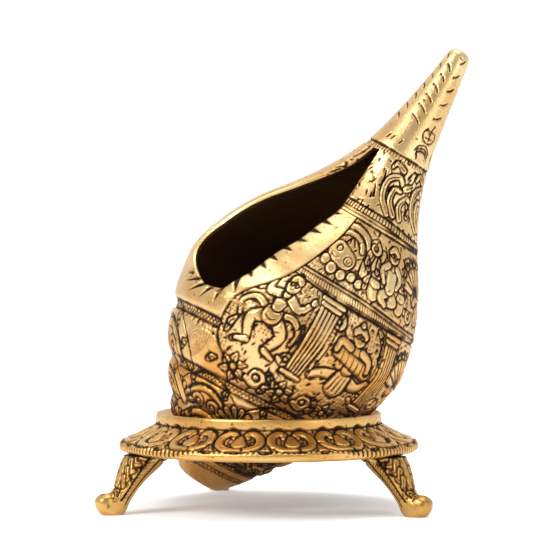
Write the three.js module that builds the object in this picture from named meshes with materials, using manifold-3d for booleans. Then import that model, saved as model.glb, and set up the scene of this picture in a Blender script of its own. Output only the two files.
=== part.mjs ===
// A cast brass chank shell standing canal-up in a round tripod stand. Units are millimetres, +Z is up, and the
// shell's mouth faces -Y and -X. The origin is on the floor, under the middle of the whole object.
import * as THREE from "three";
import { mergeVertices } from "three/addons/utils/BufferGeometryUtils.js";
import Module from "manifold-3d";

const wasm = await Module();
wasm.setup();

// Shell: length along its own axis, from the blunt spire end to the canal tip, and how it leans in the stand.
const SHELL_LENGTH = 220.7;
const SHELL_LEAN = THREE.MathUtils.degToRad(30.8);
const SPIRE_END = new THREE.Vector3(-28.6, 0, 9.8);
const WALL = 3.4;

// Mean radius of the shell against the distance along its axis, spire end first.
const MERIDIAN = [
  [0, 9.6],
  [3, 12.2],
  [10, 18.3],
  [21, 26.6],
  [32, 33.8],
  [44, 41.2],
  [57, 47.6],
  [70, 51.8],
  [84, 53.7],
  [97, 51.3],
  [110, 46.2],
  [122, 39.5],
  [134, 31.5],
  [146, 23.9],
  [158, 18.1],
  [172, 13.2],
  [190, 9.3],
  [206, 6.6],
  [218, 5],
  [SHELL_LENGTH, 3.4],
];

// The mouth, drawn square-on from the front: distance along the axis, offset sideways from it.
const MOUTH_START = 76.5;
const MOUTH_END = 165;
const COLUMELLA_EDGE = [
  [MOUTH_START, -45.5],
  [79, -38],
  [85.3, -34.3],
  [91.3, -30.6],
  [98.5, -27.7],
  [107, -23.7],
  [114, -19.7],
  [122.4, -16.5],
  [132.6, -11.9],
  [141, -10.9],
  [151, -10.4],
  [MOUTH_END, -9.2],
];
const LIP_EDGE = [
  [MOUTH_START, -45.5],
  [79.6, -51.6],
  [87, -52.8],
  [93.4, -52.8],
  [100, -50.5],
  [110.7, -45.8],
  [120, -40.4],
  [129.7, -32.6],
  [140.7, -23.9],
  [148.6, -17.8],
  [155.7, -13],
  [MOUTH_END, -9.2],
];
const MOUTH_JUMP = 13.5; // how much further out the outer lip stands than the inner one
const LIP_LIMIT = THREE.MathUtils.degToRad(-83);
const SPIRE_SEAM = THREE.MathUtils.degToRad(-62);
const SPIRE_SWELL = 2.8; // the spire is fuller on the side of the newest whorl

// Whorls: the suture is a helix that climbs by this factor a turn.
const SUTURE_START = 45.5;
const WHORL_RATIO = 1.51;
const LAST_SUTURE_TURN = 326 / 360;
const GROOVE_DEPTH = 1.7;
const GROOVE_WIDTH = 2.6;
const WHORL_BULGE = 0.8;

// Mesh density of the shell.
const SPIRE_ROWS = 22;
const MOUTH_ROWS = 20;
const CANAL_ROWS = 6;
const SHELL_COLUMNS = 44;
const CAVITY_COLUMNS = 24;
const CAVITY_START = 20;
const CAVITY_END = 171;
const CAVITY_ROWS = [CAVITY_START, 32, 46, 61]; // below the mouth
const CAVITY_POLE = CAVITY_START - 1.5;
const WELD = 1e-4; // points closer than this are one

// Stand: the ring's main sizes, then radius and height of each corner of its section. It is a collar with a
// conical seat, a sloped flange and a rounded rim, hollow underneath.
const SEAT_RADIUS = 43.4;
const RIM_RADIUS = 65.6;
const COLLAR_RADIUS = 49.4;
const COLLAR_TOP = 41.8;
const RIM_BOTTOM = 25;
const RING_TOPSIDE = [
  [SEAT_RADIUS, 36],
  [47.7, 41.2],
  [48.5, COLLAR_TOP],
  [COLLAR_RADIUS - 0.2, 41.3],
  [COLLAR_RADIUS, 40.4],
  [COLLAR_RADIUS + 0.1, 37.4],
  [50.6, 36.2],
  [53.8, 34.4],
  [58.6, 32],
  [62.8, 30.3],
  [64.8, 29.4],
  [RIM_RADIUS, 27.8],
  [RIM_RADIUS - 0.1, 26],
];
const RING_UNDERSIDE = [
  [64.3, RIM_BOTTOM],
  [62, RIM_BOTTOM],
  [60.6, 26.8],
  [52, 31.4],
  [45, 34.2],
  [SEAT_RADIUS + 0.3, 34.7],
];
const RING_SEGMENTS = 64;
const GAP = 0.3; // between the ring and each leg

// Legs: bearing of each one from the front (-Y), positive towards +X.
const LEG_BEARINGS = { leg_left: -64, leg_right: 57, leg_back: 198.5 };
// Stations down a leg: distance from the stand's axis, height, half thickness, half width.
const LEG_STATIONS = [
  [55.5, 29.5, 9.2, 9.8],
  [59.4, 24.2, 7.4, 9.6],
  [63.6, 19.0, 6.0, 9.2],
  [66.4, 14.6, 5.0, 7.9],
  [68.4, 10.8, 4.4, 6.3],
  [70.6, 7.2, 4.4, 5.2],
  [73.2, 4.3, 5.7, 5.0],
  [76.2, 4.3, 5.1, 5.1],
  [78.8, 6.6, 4.0, 4.4],
  [80.2, 8.9, 2.2, 2.6],
];
const LEG_SIDES = 14;
const LEG_SQUARENESS = 0.8; // 1 for an oval section, less for a squarer one

const BRASS = 0xd0a24c;
const DARK_BRASS = 0xb98a3c;

// A smooth curve through points given as [position, value], like a draughtsman's spline.
function curveThrough(points) {
  const slopes = points.map((p, i) => {
    const a = points[Math.max(i - 1, 0)];
    const b = points[Math.min(i + 1, points.length - 1)];
    return (b[1] - a[1]) / (b[0] - a[0]);
  });
  return (x) => {
    let i = 0;
    while (i < points.length - 2 && x > points[i + 1][0]) i++;
    const [x0, y0] = points[i];
    const [x1, y1] = points[i + 1];
    const h = x1 - x0;
    const t = Math.min(1, Math.max(0, (x - x0) / h));
    const rise = t * t * (3 - 2 * t);
    return y0 + (y1 - y0) * rise + h * t * (1 - t) * ((1 - t) * slopes[i] - t * slopes[i + 1]);
  };
}

const smooth = (from, to, x) => THREE.MathUtils.smoothstep(x, from, to);
const meridian = curveThrough(MERIDIAN);
const columellaEdge = curveThrough(COLUMELLA_EDGE);
const lipEdge = curveThrough(LIP_EDGE);

// How far the lip stands out over the columella at this distance along the axis.
function jumpAt(z) {
  if (z <= MOUTH_START || z >= MOUTH_END) return 0;
  const opening = smooth(MOUTH_START, 101, z);
  const closing = 1 - Math.pow(Math.max(0, (z - 122) / (MOUTH_END - 122)), 1.5);
  return MOUTH_JUMP * opening * closing;
}

// Radius of the plain shell, without its sutures. turn runs from 0 at the columella round to 1 at the outer lip.
function plainRadius(z, angle, turn) {
  const swell = SPIRE_SWELL * smooth(-5, 2, z) * (1 - smooth(84, 104, z));
  const growth = jumpAt(z) * (0.28 - Math.pow(Math.max(0, 1 - turn), 1.33));
  return meridian(z) - swell * Math.sin(angle) + growth;
}

// Angles of the two sides of the mouth at z, measured from the front, positive towards +X.
function mouthAngles(z) {
  if (z <= MOUTH_START || z >= MOUTH_END) {
    const edge = z <= MOUTH_START ? MOUTH_START : MOUTH_END;
    const closed = Math.asin(columellaEdge(edge) / plainRadius(edge, -1, 0));
    const seam = z <= MOUTH_START ? THREE.MathUtils.lerp(SPIRE_SEAM, closed, smooth(40, MOUTH_START, z)) : closed;
    return [seam, seam + 2 * Math.PI];
  }
  const inner = plainRadius(z, -0.75, 0);
  const outer = plainRadius(z, -1.35, 1) - WALL;
  const columella = Math.asin(Math.max(-0.985, columellaEdge(z) / inner));
  const closedness = 1 - smooth(MOUTH_START, MOUTH_START + 2.5, z);
  const lip = Math.asin(Math.max(-0.999, lipEdge(z) / (outer + WALL * closedness)));
  return [columella, Math.min(Math.max(lip, LIP_LIMIT), columella - 0.001) + 2 * Math.PI];
}

// The sutures: a groove along each turn of the helix, and a swelling between two of them.
function sutureRelief(z, angle) {
  if (z < 4) return 0;
  const fade = smooth(4, 12, z);
  const wholeTurns = Math.log(z / SUTURE_START) / Math.log(WHORL_RATIO) - angle / (2 * Math.PI);
  const nearest = Math.round(wholeTurns);
  const grooveTurn = nearest + angle / (2 * Math.PI);
  const grooveAt = SUTURE_START * Math.pow(WHORL_RATIO, grooveTurn);
  const ended = smooth(LAST_SUTURE_TURN - 0.02, LAST_SUTURE_TURN + 0.02, grooveTurn);
  const size = Math.min(1, z / 45);
  const groove = -GROOVE_DEPTH * size * Math.exp(-Math.pow((z - grooveAt) / GROOVE_WIDTH, 2)) * (1 - ended);
  const between = wholeTurns - Math.floor(wholeTurns);
  const onNewest = Math.floor(wholeTurns) + 1 + angle / (2 * Math.PI) > LAST_SUTURE_TURN;
  const dying = onNewest ? 1 - smooth(0.2, 1, between) : 1;
  const bulge = WHORL_BULGE * size * Math.sin(Math.PI * between) * dying;
  return fade * (groove + bulge);
}

function shellPoint(z, angle, radius) {
  return new THREE.Vector3(radius * Math.sin(angle), -radius * Math.cos(angle), z);
}

// Wall measured square to the surface, as a difference of radius.
function radialWall(z) {
  const slope = meridian(z + 1) - meridian(z - 1);
  return WALL * Math.hypot(1, slope / 2);
}

// Rows of the outside and of the cavity share the rows along the mouth, so that its rim joins them one to one.
function rowHeights() {
  const rows = [];
  for (let i = 0; i <= SPIRE_ROWS; i++) rows.push(MOUTH_START * Math.pow(i / SPIRE_ROWS, 0.92));
  const first = rows.length - 1;
  for (let i = 1; i <= MOUTH_ROWS; i++) {
    const t = i / MOUTH_ROWS;
    rows.push(THREE.MathUtils.lerp(MOUTH_START, MOUTH_END, 0.3 * t + 0.7 * t * t * (1.6 - 0.6 * t)));
  }
  const last = rows.length - 1;
  for (let i = 1; i <= CANAL_ROWS; i++) rows.push(THREE.MathUtils.lerp(MOUTH_END, SHELL_LENGTH, i / CANAL_ROWS));
  return { rows, first, last };
}

// Away from the mouth the columns of faces stay in line, and only those near its two sides follow its edges.
function columnAngle(from, to, turn) {
  const even = SPIRE_SEAM + 2 * Math.PI * turn;
  const nearColumella = 1 - smooth(0, 0.2, turn);
  const nearLip = smooth(0.84, 1, turn);
  return even + (from - SPIRE_SEAM) * nearColumella + (to - SPIRE_SEAM - 2 * Math.PI) * nearLip;
}

// One skin of the shell as rows of points. Where the mouth is open a row stops short of closing on itself.
function skin(rows, columns, radiusAt) {
  return rows.map((z) => {
    const [from, to] = mouthAngles(z);
    const open = z > MOUTH_START + 1e-6 && z < MOUTH_END - 1e-6;
    const row = [];
    for (let j = 0; j <= columns; j++) {
      const turn = j / columns;
      const angle = columnAngle(from, to, turn);
      row.push(shellPoint(z, angle, radiusAt(z, angle, turn)));
    }
    if (!open) row[columns] = row[0].clone();
    return row;
  });
}

function solidFromTriangles(positions) {
  const soup = new THREE.BufferGeometry();
  soup.setAttribute("position", new THREE.Float32BufferAttribute(positions, 3));
  return mergeVertices(soup, WELD);
}

// Two triangles, split along the shorter diagonal so that slanted faces stay close to the curved surface.
function pushQuad(out, a, b, c, d) {
  const split = a.distanceTo(c) <= b.distanceTo(d) ? [[a, b, c], [a, c, d]] : [[a, b, d], [b, c, d]];
  for (const corners of split) pushTriangle(out, ...corners);
}

function pushTriangle(out, a, b, c) {
  if (a.distanceTo(b) < WELD || b.distanceTo(c) < WELD || c.distanceTo(a) < WELD) return;
  for (const p of [a, b, c]) out.push(p.x, p.y, p.z);
}

// Covers a skin with faces, with a pole at each end. facing is 1 for faces outwards and -1 for inwards.
function coverSkin(out, points, columns, lowPole, highPole, facing) {
  const put = (a, b, c, d) => (facing > 0 ? pushQuad(out, a, b, c, d) : pushQuad(out, d, c, b, a));
  const putFan = (a, b, c) => (facing > 0 ? pushTriangle(out, a, b, c) : pushTriangle(out, c, b, a));
  for (let j = 0; j < columns; j++) {
    const low = points[0];
    const high = points[points.length - 1];
    putFan(lowPole, low[j + 1], low[j]);
    putFan(highPole, high[j], high[j + 1]);
    for (let i = 0; i + 1 < points.length; i++)
      put(points[i][j], points[i][j + 1], points[i + 1][j + 1], points[i + 1][j]);
  }
}

function makeShell() {
  const { rows, first, last } = rowHeights();
  const outside = skin(rows, SHELL_COLUMNS, (z, angle, turn) => plainRadius(z, angle, turn) + sutureRelief(z, angle));
  const cavityRows = [...CAVITY_ROWS, ...rows.slice(first, last + 1)];
  const cavityFirst = CAVITY_ROWS.length;
  const cavity = skin(cavityRows, CAVITY_COLUMNS, (z, angle, turn) => plainRadius(z, angle, turn) - radialWall(z));
  const faces = [];
  coverSkin(faces, outside, SHELL_COLUMNS, shellPoint(0, 0, 0), shellPoint(SHELL_LENGTH, 0, 0), 1);
  coverSkin(faces, cavity, CAVITY_COLUMNS, shellPoint(CAVITY_POLE, 0, 0), shellPoint(CAVITY_END, 0, 0), -1);
  for (let i = 0; i < last - first; i++) {
    const [o0, o1] = [outside[first + i], outside[first + i + 1]];
    const [c0, c1] = [cavity[cavityFirst + i], cavity[cavityFirst + i + 1]];
    pushQuad(faces, c0[0], o0[0], o1[0], c1[0]);
    pushQuad(faces, o0[SHELL_COLUMNS], c0[CAVITY_COLUMNS], c1[CAVITY_COLUMNS], o1[SHELL_COLUMNS]);
  }
  return solidFromTriangles(faces);
}

// A body turned about the stand's axis, from the outline of its section as [radius, height] points.
function turned(outline) {
  const section = outline.map(([radius, height]) => new THREE.Vector2(radius, height)).reverse();
  section.push(section[0].clone());
  return new THREE.LatheGeometry(section, RING_SEGMENTS).rotateX(Math.PI / 2);
}

// A closed body through rings of points, with a point at the middle of each end.
function loft(rings) {
  const faces = [];
  const middle = (ring) => ring.reduce((sum, p) => sum.add(p), new THREE.Vector3()).divideScalar(ring.length);
  rings.forEach((ring, i) => {
    const n = ring.length;
    for (let j = 0; j < n; j++) {
      const k = (j + 1) % n;
      if (i === 0) pushTriangle(faces, middle(ring), ring[j], ring[k]);
      if (i === rings.length - 1) pushTriangle(faces, middle(ring), ring[k], ring[j]);
      else pushQuad(faces, ring[k], ring[j], rings[i + 1][j], rings[i + 1][k]);
    }
  });
  return solidFromTriangles(faces);
}

// One cabriole leg along +X: a broad knee under the rim, a slim ankle, and a toe that turns up, flat underneath.
function legBody() {
  const rings = LEG_STATIONS.map(([x, z, thick, wide], i) => {
    const before = LEG_STATIONS[Math.max(i - 1, 0)];
    const after = LEG_STATIONS[Math.min(i + 1, LEG_STATIONS.length - 1)];
    const along = new THREE.Vector2(after[0] - before[0], after[1] - before[1]).normalize();
    const ring = [];
    for (let j = 0; j < LEG_SIDES; j++) {
      const a = (j / LEG_SIDES) * 2 * Math.PI;
      const squarish = (v) => Math.sign(v) * Math.pow(Math.abs(v), LEG_SQUARENESS);
      const across = thick * squarish(Math.cos(a));
      const side = wide * squarish(Math.sin(a));
      ring.push(new THREE.Vector3(x - along.y * across, side, Math.max(0, z + along.x * across)));
    }
    return ring;
  });
  return loft(rings);
}

function toSolid(geometry) {
  const bare = geometry.clone();
  bare.deleteAttribute("normal");
  bare.deleteAttribute("uv");
  const merged = mergeVertices(bare, WELD);
  return new wasm.Manifold(
    new wasm.Mesh({
      numProp: 3,
      vertProperties: new Float32Array(merged.attributes.position.array),
      triVerts: new Uint32Array(merged.index.array),
    }),
  );
}

function toGeometry(solid) {
  const mesh = solid.getMesh();
  const geometry = new THREE.BufferGeometry();
  geometry.setAttribute("position", new THREE.BufferAttribute(new Float32Array(mesh.vertProperties), 3));
  geometry.setIndex(new THREE.BufferAttribute(new Uint32Array(mesh.triVerts), 1));
  return geometry;
}

const brass = new THREE.MeshStandardMaterial({ color: BRASS, roughness: 0.34, metalness: 1 });
const standBrass = new THREE.MeshStandardMaterial({ color: DARK_BRASS, roughness: 0.36, metalness: 1 });

function named(geometry, material, name) {
  const mesh = new THREE.Mesh(geometry, material);
  mesh.name = name;
  return mesh;
}

const group = new THREE.Group();

const shell = named(makeShell(), brass, "shell");
shell.position.copy(SPIRE_END);
shell.rotation.y = SHELL_LEAN;
group.add(shell);

group.add(named(turned([...RING_TOPSIDE, ...RING_UNDERSIDE]), standBrass, "stand_ring"));

// The legs fit under the flange: each is cut by all that lies above the ring's underside, less the gap.
const underside = RING_UNDERSIDE.map(([radius, height]) => [radius - GAP, height - GAP]);
const [outermost, innermost] = [RIM_RADIUS + 12, SEAT_RADIUS - 10];
const ringSpace = toSolid(
  turned([
    [innermost, COLLAR_TOP],
    [outermost, COLLAR_TOP],
    [outermost, RIM_BOTTOM - GAP],
    ...underside,
    [innermost, underside.at(-1)[1]],
  ]),
);
const legSolid = toSolid(legBody());
for (const [name, bearing] of Object.entries(LEG_BEARINGS)) {
  const fitted = legSolid.rotate([0, 0, bearing - 90]).subtract(ringSpace);
  group.add(named(toGeometry(fitted), standBrass, name));
}

// Centre the whole object over the origin, standing on the floor.
group.updateMatrixWorld(true);
const box = new THREE.Box3().setFromObject(group, true);
group.position.set(-(box.min.x + box.max.x) / 2, -(box.min.y + box.max.y) / 2, -box.min.z);

export default group;
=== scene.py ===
"""A cast brass chank shell, carved all over, resting in a round stand on three curved legs."""

import math
from math import radians

import bpy
import numpy as np
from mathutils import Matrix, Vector


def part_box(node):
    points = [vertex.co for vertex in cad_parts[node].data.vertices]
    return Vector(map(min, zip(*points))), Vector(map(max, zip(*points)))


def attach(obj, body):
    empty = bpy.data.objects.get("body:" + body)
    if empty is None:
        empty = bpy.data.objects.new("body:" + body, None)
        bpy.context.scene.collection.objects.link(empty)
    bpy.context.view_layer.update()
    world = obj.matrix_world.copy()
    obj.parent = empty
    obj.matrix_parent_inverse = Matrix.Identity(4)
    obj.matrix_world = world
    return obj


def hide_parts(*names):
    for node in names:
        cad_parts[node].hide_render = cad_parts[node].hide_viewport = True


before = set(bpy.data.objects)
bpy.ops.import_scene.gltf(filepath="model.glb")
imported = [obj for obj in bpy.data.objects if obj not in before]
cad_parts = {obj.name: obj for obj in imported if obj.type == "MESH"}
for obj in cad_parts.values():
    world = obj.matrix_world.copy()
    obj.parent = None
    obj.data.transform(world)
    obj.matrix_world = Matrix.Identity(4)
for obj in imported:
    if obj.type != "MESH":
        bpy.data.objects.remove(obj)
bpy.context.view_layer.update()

bl_info = {
    "name": "Carved Brass Chank Shell",
    "version": (1, 0, 0),
    "blender": (4, 5, 0),
    "location": "3D View > Sidebar > Chank",
    "description": "Builds a carved cast brass chank shell with its tripod stand",
    "category": "Add Mesh",
}

MM = 0.001
TAU = 2 * math.pi

# The shell's own sizes in mm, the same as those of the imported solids.
SHELL_LENGTH = 220.7
SHELL_LEAN = radians(30.8)
SPIRE_END = (-28.6, 0.0, 9.8)
WALL = 3.4
MERIDIAN = [
    (0, 9.6), (3, 12.2), (10, 18.3), (21, 26.6), (32, 33.8), (44, 41.2), (57, 47.6), (70, 51.8),
    (84, 53.7), (97, 51.3), (110, 46.2), (122, 39.5), (134, 31.5), (146, 23.9), (158, 18.1),
    (172, 13.2), (190, 9.3), (206, 6.6), (218, 5), (SHELL_LENGTH, 3.4),
]
MOUTH_START = 76.5
MOUTH_END = 165.0
COLUMELLA_EDGE = [
    (MOUTH_START, -45.5), (79, -38), (85.3, -34.3), (91.3, -30.6), (98.5, -27.7), (107, -23.7),
    (114, -19.7), (122.4, -16.5), (132.6, -11.9), (141, -10.9), (151, -10.4), (MOUTH_END, -9.2),
]
LIP_EDGE = [
    (MOUTH_START, -45.5), (79.6, -51.6), (87, -52.8), (93.4, -52.8), (100, -50.5), (110.7, -45.8),
    (120, -40.4), (129.7, -32.6), (140.7, -23.9), (148.6, -17.8), (155.7, -13), (MOUTH_END, -9.2),
]
MOUTH_JUMP = 13.5
JUMP_FULL_FROM = 101
JUMP_FULL_TO = 122
LIP_LIMIT = radians(-83)
SPIRE_SEAM = radians(-62)
SPIRE_SWELL = 2.8
SWELL_FADE = (84, 104)
SUTURE_START = 45.5
WHORL_RATIO = 1.51
LAST_SUTURE_TURN = 326 / 360
GROOVE_DEPTH = 1.7
GROOVE_WIDTH = 2.6
WHORL_BULGE = 0.8
LIP_ROUNDING = 2.4
LIP_SMOOTHING = 150
CAVITY_START = 20.0
CAVITY_END = 171.0

# The edge between the smooth callus and the first panel, seen square-on: along the axis, and sideways.
CALLUS_EDGE = [
    (42, 2), (46, -6), (49.8, -13), (53.2, -17.8), (55.9, -21.9), (58.9, -25.8), (63.1, -28.6),
    (67.2, -29.8), (77.8, -29.6), (85.5, -27), (104.8, -14.5), (122.7, -5.8), (134.4, -3), (140, -2),
]
# Wedge cuts round the mouth: each one's foot on the mouth's edge and its tip, as distance along the axis
# in mm and angle from the front in degrees, and half its width at the foot.
MOUTH_CUTS = [
    ((131.2, -31), (132.0, -23.6), 0.75), ((125.9, -33), (126.0, -23.4), 1.0),
    ((119.8, -34.6), (120.5, -25.4), 1.1), ((113.4, -36), (114.3, -28.8), 1.0),
    ((107.6, -39), (107.8, -32.2), 1.05), ((101.5, -41.5), (101.2, -35.2), 0.95),
    ((97.0, -41.6), (96.0, -36.2), 0.9), ((91.4, -41), (90.1, -36.6), 0.95),
    ((86.9, -41), (82.0, -36.0), 1.2), ((80.6, -42.4), (74.0, -42.5), 0.85),
    ((78.2, -47.6), (72.2, -51.7), 0.8), ((77.2, -53.6), (72.0, -60.6), 0.8),
    ((77.4, -59.4), (74.5, -66.4), 0.7), ((78.1, -66.0), (77.1, -70.4), 0.55),
]
MOUTH_CUT_SIZE = 1.3



def smooth(low, high, x):
    """0 at low and before, 1 at high and past it, with a soft step between."""
    t = np.clip((np.asarray(x, float) - low) / (high - low), 0, 1)
    return t * t * (3 - 2 * t)


def curve_through(points):
    """A smooth curve through points given as (position, value)."""
    xs, ys = np.array(points, float).T
    count = len(xs)
    before, after = np.maximum(np.arange(count) - 1, 0), np.minimum(np.arange(count) + 1, count - 1)
    slopes = (ys[after] - ys[before]) / (xs[after] - xs[before])

    def value(x):
        x = np.asarray(x, float)
        i = np.clip(np.searchsorted(xs, x) - 1, 0, count - 2)
        h = xs[i + 1] - xs[i]
        t = np.clip((x - xs[i]) / h, 0, 1)
        rise = t * t * (3 - 2 * t)
        bend = h * t * (1 - t) * ((1 - t) * slopes[i] - t * slopes[i + 1])
        return ys[i] + (ys[i + 1] - ys[i]) * rise + bend

    return value


def running_length(x, y):
    """Distance from the first of some points to each of them, along the line through them."""
    return np.concatenate([[0], np.cumsum(np.hypot(np.diff(x), np.diff(y)))])


meridian = curve_through(MERIDIAN)
columella_edge = curve_through(COLUMELLA_EDGE)
lip_edge = curve_through(LIP_EDGE)
callus_edge = curve_through(CALLUS_EDGE)


def jump_at(z):
    """How far the lip stands out over the columella."""
    opening = smooth(MOUTH_START, JUMP_FULL_FROM, z)
    past = (np.asarray(z, float) - JUMP_FULL_TO) / (MOUTH_END - JUMP_FULL_TO)
    closing = 1 - np.clip(past, 0, 1) ** 1.5
    return MOUTH_JUMP * opening * closing * ((z > MOUTH_START) & (z < MOUTH_END))


def plain_radius(z, angle, turn):
    """The shell's radius without its seams, larger towards the lip, where a turn ends."""
    swell = SPIRE_SWELL * smooth(-5, 2, z) * (1 - smooth(*SWELL_FADE, z))
    growth = jump_at(z) * (0.28 - np.clip(1 - turn, 0, 1) ** 1.33)
    return meridian(z) - swell * np.sin(angle) + growth


def lip_table():
    """Angles of the outer lip by row, evened out so that its edge looks smooth from the side."""
    z = np.linspace(MOUTH_START, MOUTH_END, 178)
    outer = plain_radius(z, -1.35, 1.0) - WALL
    closedness = 1 - smooth(MOUTH_START, MOUTH_START + 2.5, z)
    angle = np.arcsin(np.maximum(-0.999, lip_edge(z) / (outer + WALL * closedness)))
    angle = np.maximum(angle, LIP_LIMIT)
    for _ in range(LIP_SMOOTHING):
        angle[1:-1] = (angle[:-2] + angle[1:-1] + angle[2:]) / 3
    return z, angle


def mouth_angles(z):
    """Angles of the two sides of the mouth, from the front, positive towards +X."""
    z = np.asarray(z, float)
    edge = np.where(z <= MOUTH_START, MOUTH_START, MOUTH_END)
    closed = np.arcsin(columella_edge(edge) / plain_radius(edge, -1.0, 0.0))
    lower = SPIRE_SEAM + (closed - SPIRE_SEAM) * smooth(40, MOUTH_START, z)
    seam = np.where(z <= MOUTH_START, lower, closed)
    inner = plain_radius(z, -0.75, 0.0)
    columella = np.arcsin(np.maximum(-0.985, columella_edge(z) / inner))
    lip = np.minimum(np.interp(z, *LIP_TABLE), columella - 0.001)
    is_open = (z > MOUTH_START + 1e-6) & (z < MOUTH_END - 1e-6)
    return np.where(is_open, columella, seam), np.where(is_open, lip, seam) + TAU, is_open


LIP_TABLE = lip_table()


def column_angle(start, end, turn):
    """Angle of a column: evenly spread, but drawn in to the mouth's two sides near them."""
    even = SPIRE_SEAM + TAU * turn
    near_columella = 1 - smooth(0, 0.2, turn)
    near_lip = smooth(0.84, 1, turn)
    return even + (start - SPIRE_SEAM) * near_columella + (end - SPIRE_SEAM - TAU) * near_lip


def suture_height(angle, whorl):
    """Distance along the axis of the suture that runs at this angle, whorl by whorl."""
    return SUTURE_START * WHORL_RATIO ** (whorl + np.asarray(angle) / TAU)


def suture_relief(z, angle):
    """The groove of each suture and the low bulge of each whorl between two of them."""
    z = np.maximum(z, 0.5)
    whole_turns = np.log(z / SUTURE_START) / math.log(WHORL_RATIO) - angle / TAU
    nearest = np.round(whole_turns)
    groove_turn = nearest + angle / TAU
    groove_at = SUTURE_START * WHORL_RATIO**groove_turn
    ended = smooth(LAST_SUTURE_TURN - 0.02, LAST_SUTURE_TURN + 0.02, groove_turn)
    size = np.minimum(1, z / 45)
    groove = -GROOVE_DEPTH * size * np.exp(-(((z - groove_at) / GROOVE_WIDTH) ** 2)) * (1 - ended)
    between = whole_turns - np.floor(whole_turns)
    newest = np.floor(whole_turns) + 1 + angle / TAU > LAST_SUTURE_TURN
    fading = np.where(newest, 1 - smooth(0.2, 1, between), 1)
    bulge = WHORL_BULGE * size * np.sin(math.pi * between) * fading
    return smooth(4, 12, z) * (groove + bulge)


def radial_wall(z):
    """The wall's thickness measured straight out from the axis."""
    slope = meridian(z + 1) - meridian(z - 1)
    return WALL * np.hypot(1, slope / 2)


# Carving: heights and widths in mm.
GROUND_DEPTH = 0.4
OUTLINE_WIDTH = 1.15
OUTLINE_DEPTH = 1.0
EDGE_DROP = 0.3
EDGE_SOFTNESS = 0.6


def flowing(points, steps=4):
    """More points along a smooth line through the given ones."""
    p = np.array(points, float)
    if len(p) < 3:
        return p
    padded = np.vstack([2 * p[0] - p[1], p, 2 * p[-1] - p[-2]])
    line = []
    for i in range(1, len(padded) - 2):
        a, b, c, d = padded[i - 1 : i + 3]
        for t in np.arange(steps) / steps:
            line.append(0.5 * (2 * b + (c - a) * t + (2 * a - 5 * b + 4 * c - d) * t**2
                               + (3 * b - a - 3 * c + d) * t**3))
    return np.vstack([line, p[-1]])


def line_distance(x, y, points, half_widths):
    """Distance to a line through the points, less the line's half width there."""
    best = np.full(x.shape, 1e3)
    for a, b, wide_a, wide_b in zip(points[:-1], points[1:], half_widths[:-1], half_widths[1:]):
        dx, dy = b - a
        t = np.clip(((x - a[0]) * dx + (y - a[1]) * dy) / max(dx * dx + dy * dy, 1e-9), 0, 1)
        d = np.hypot(x - a[0] - t * dx, y - a[1] - t * dy) - (wide_a + t * (wide_b - wide_a))
        best = np.minimum(best, d)
    return best


def around(x, y, radius, angle):
    """A point, or a row of points, at a distance and an angle from a place."""
    return np.stack([x + radius * np.cos(angle), y + radius * np.sin(angle)], -1)


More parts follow.
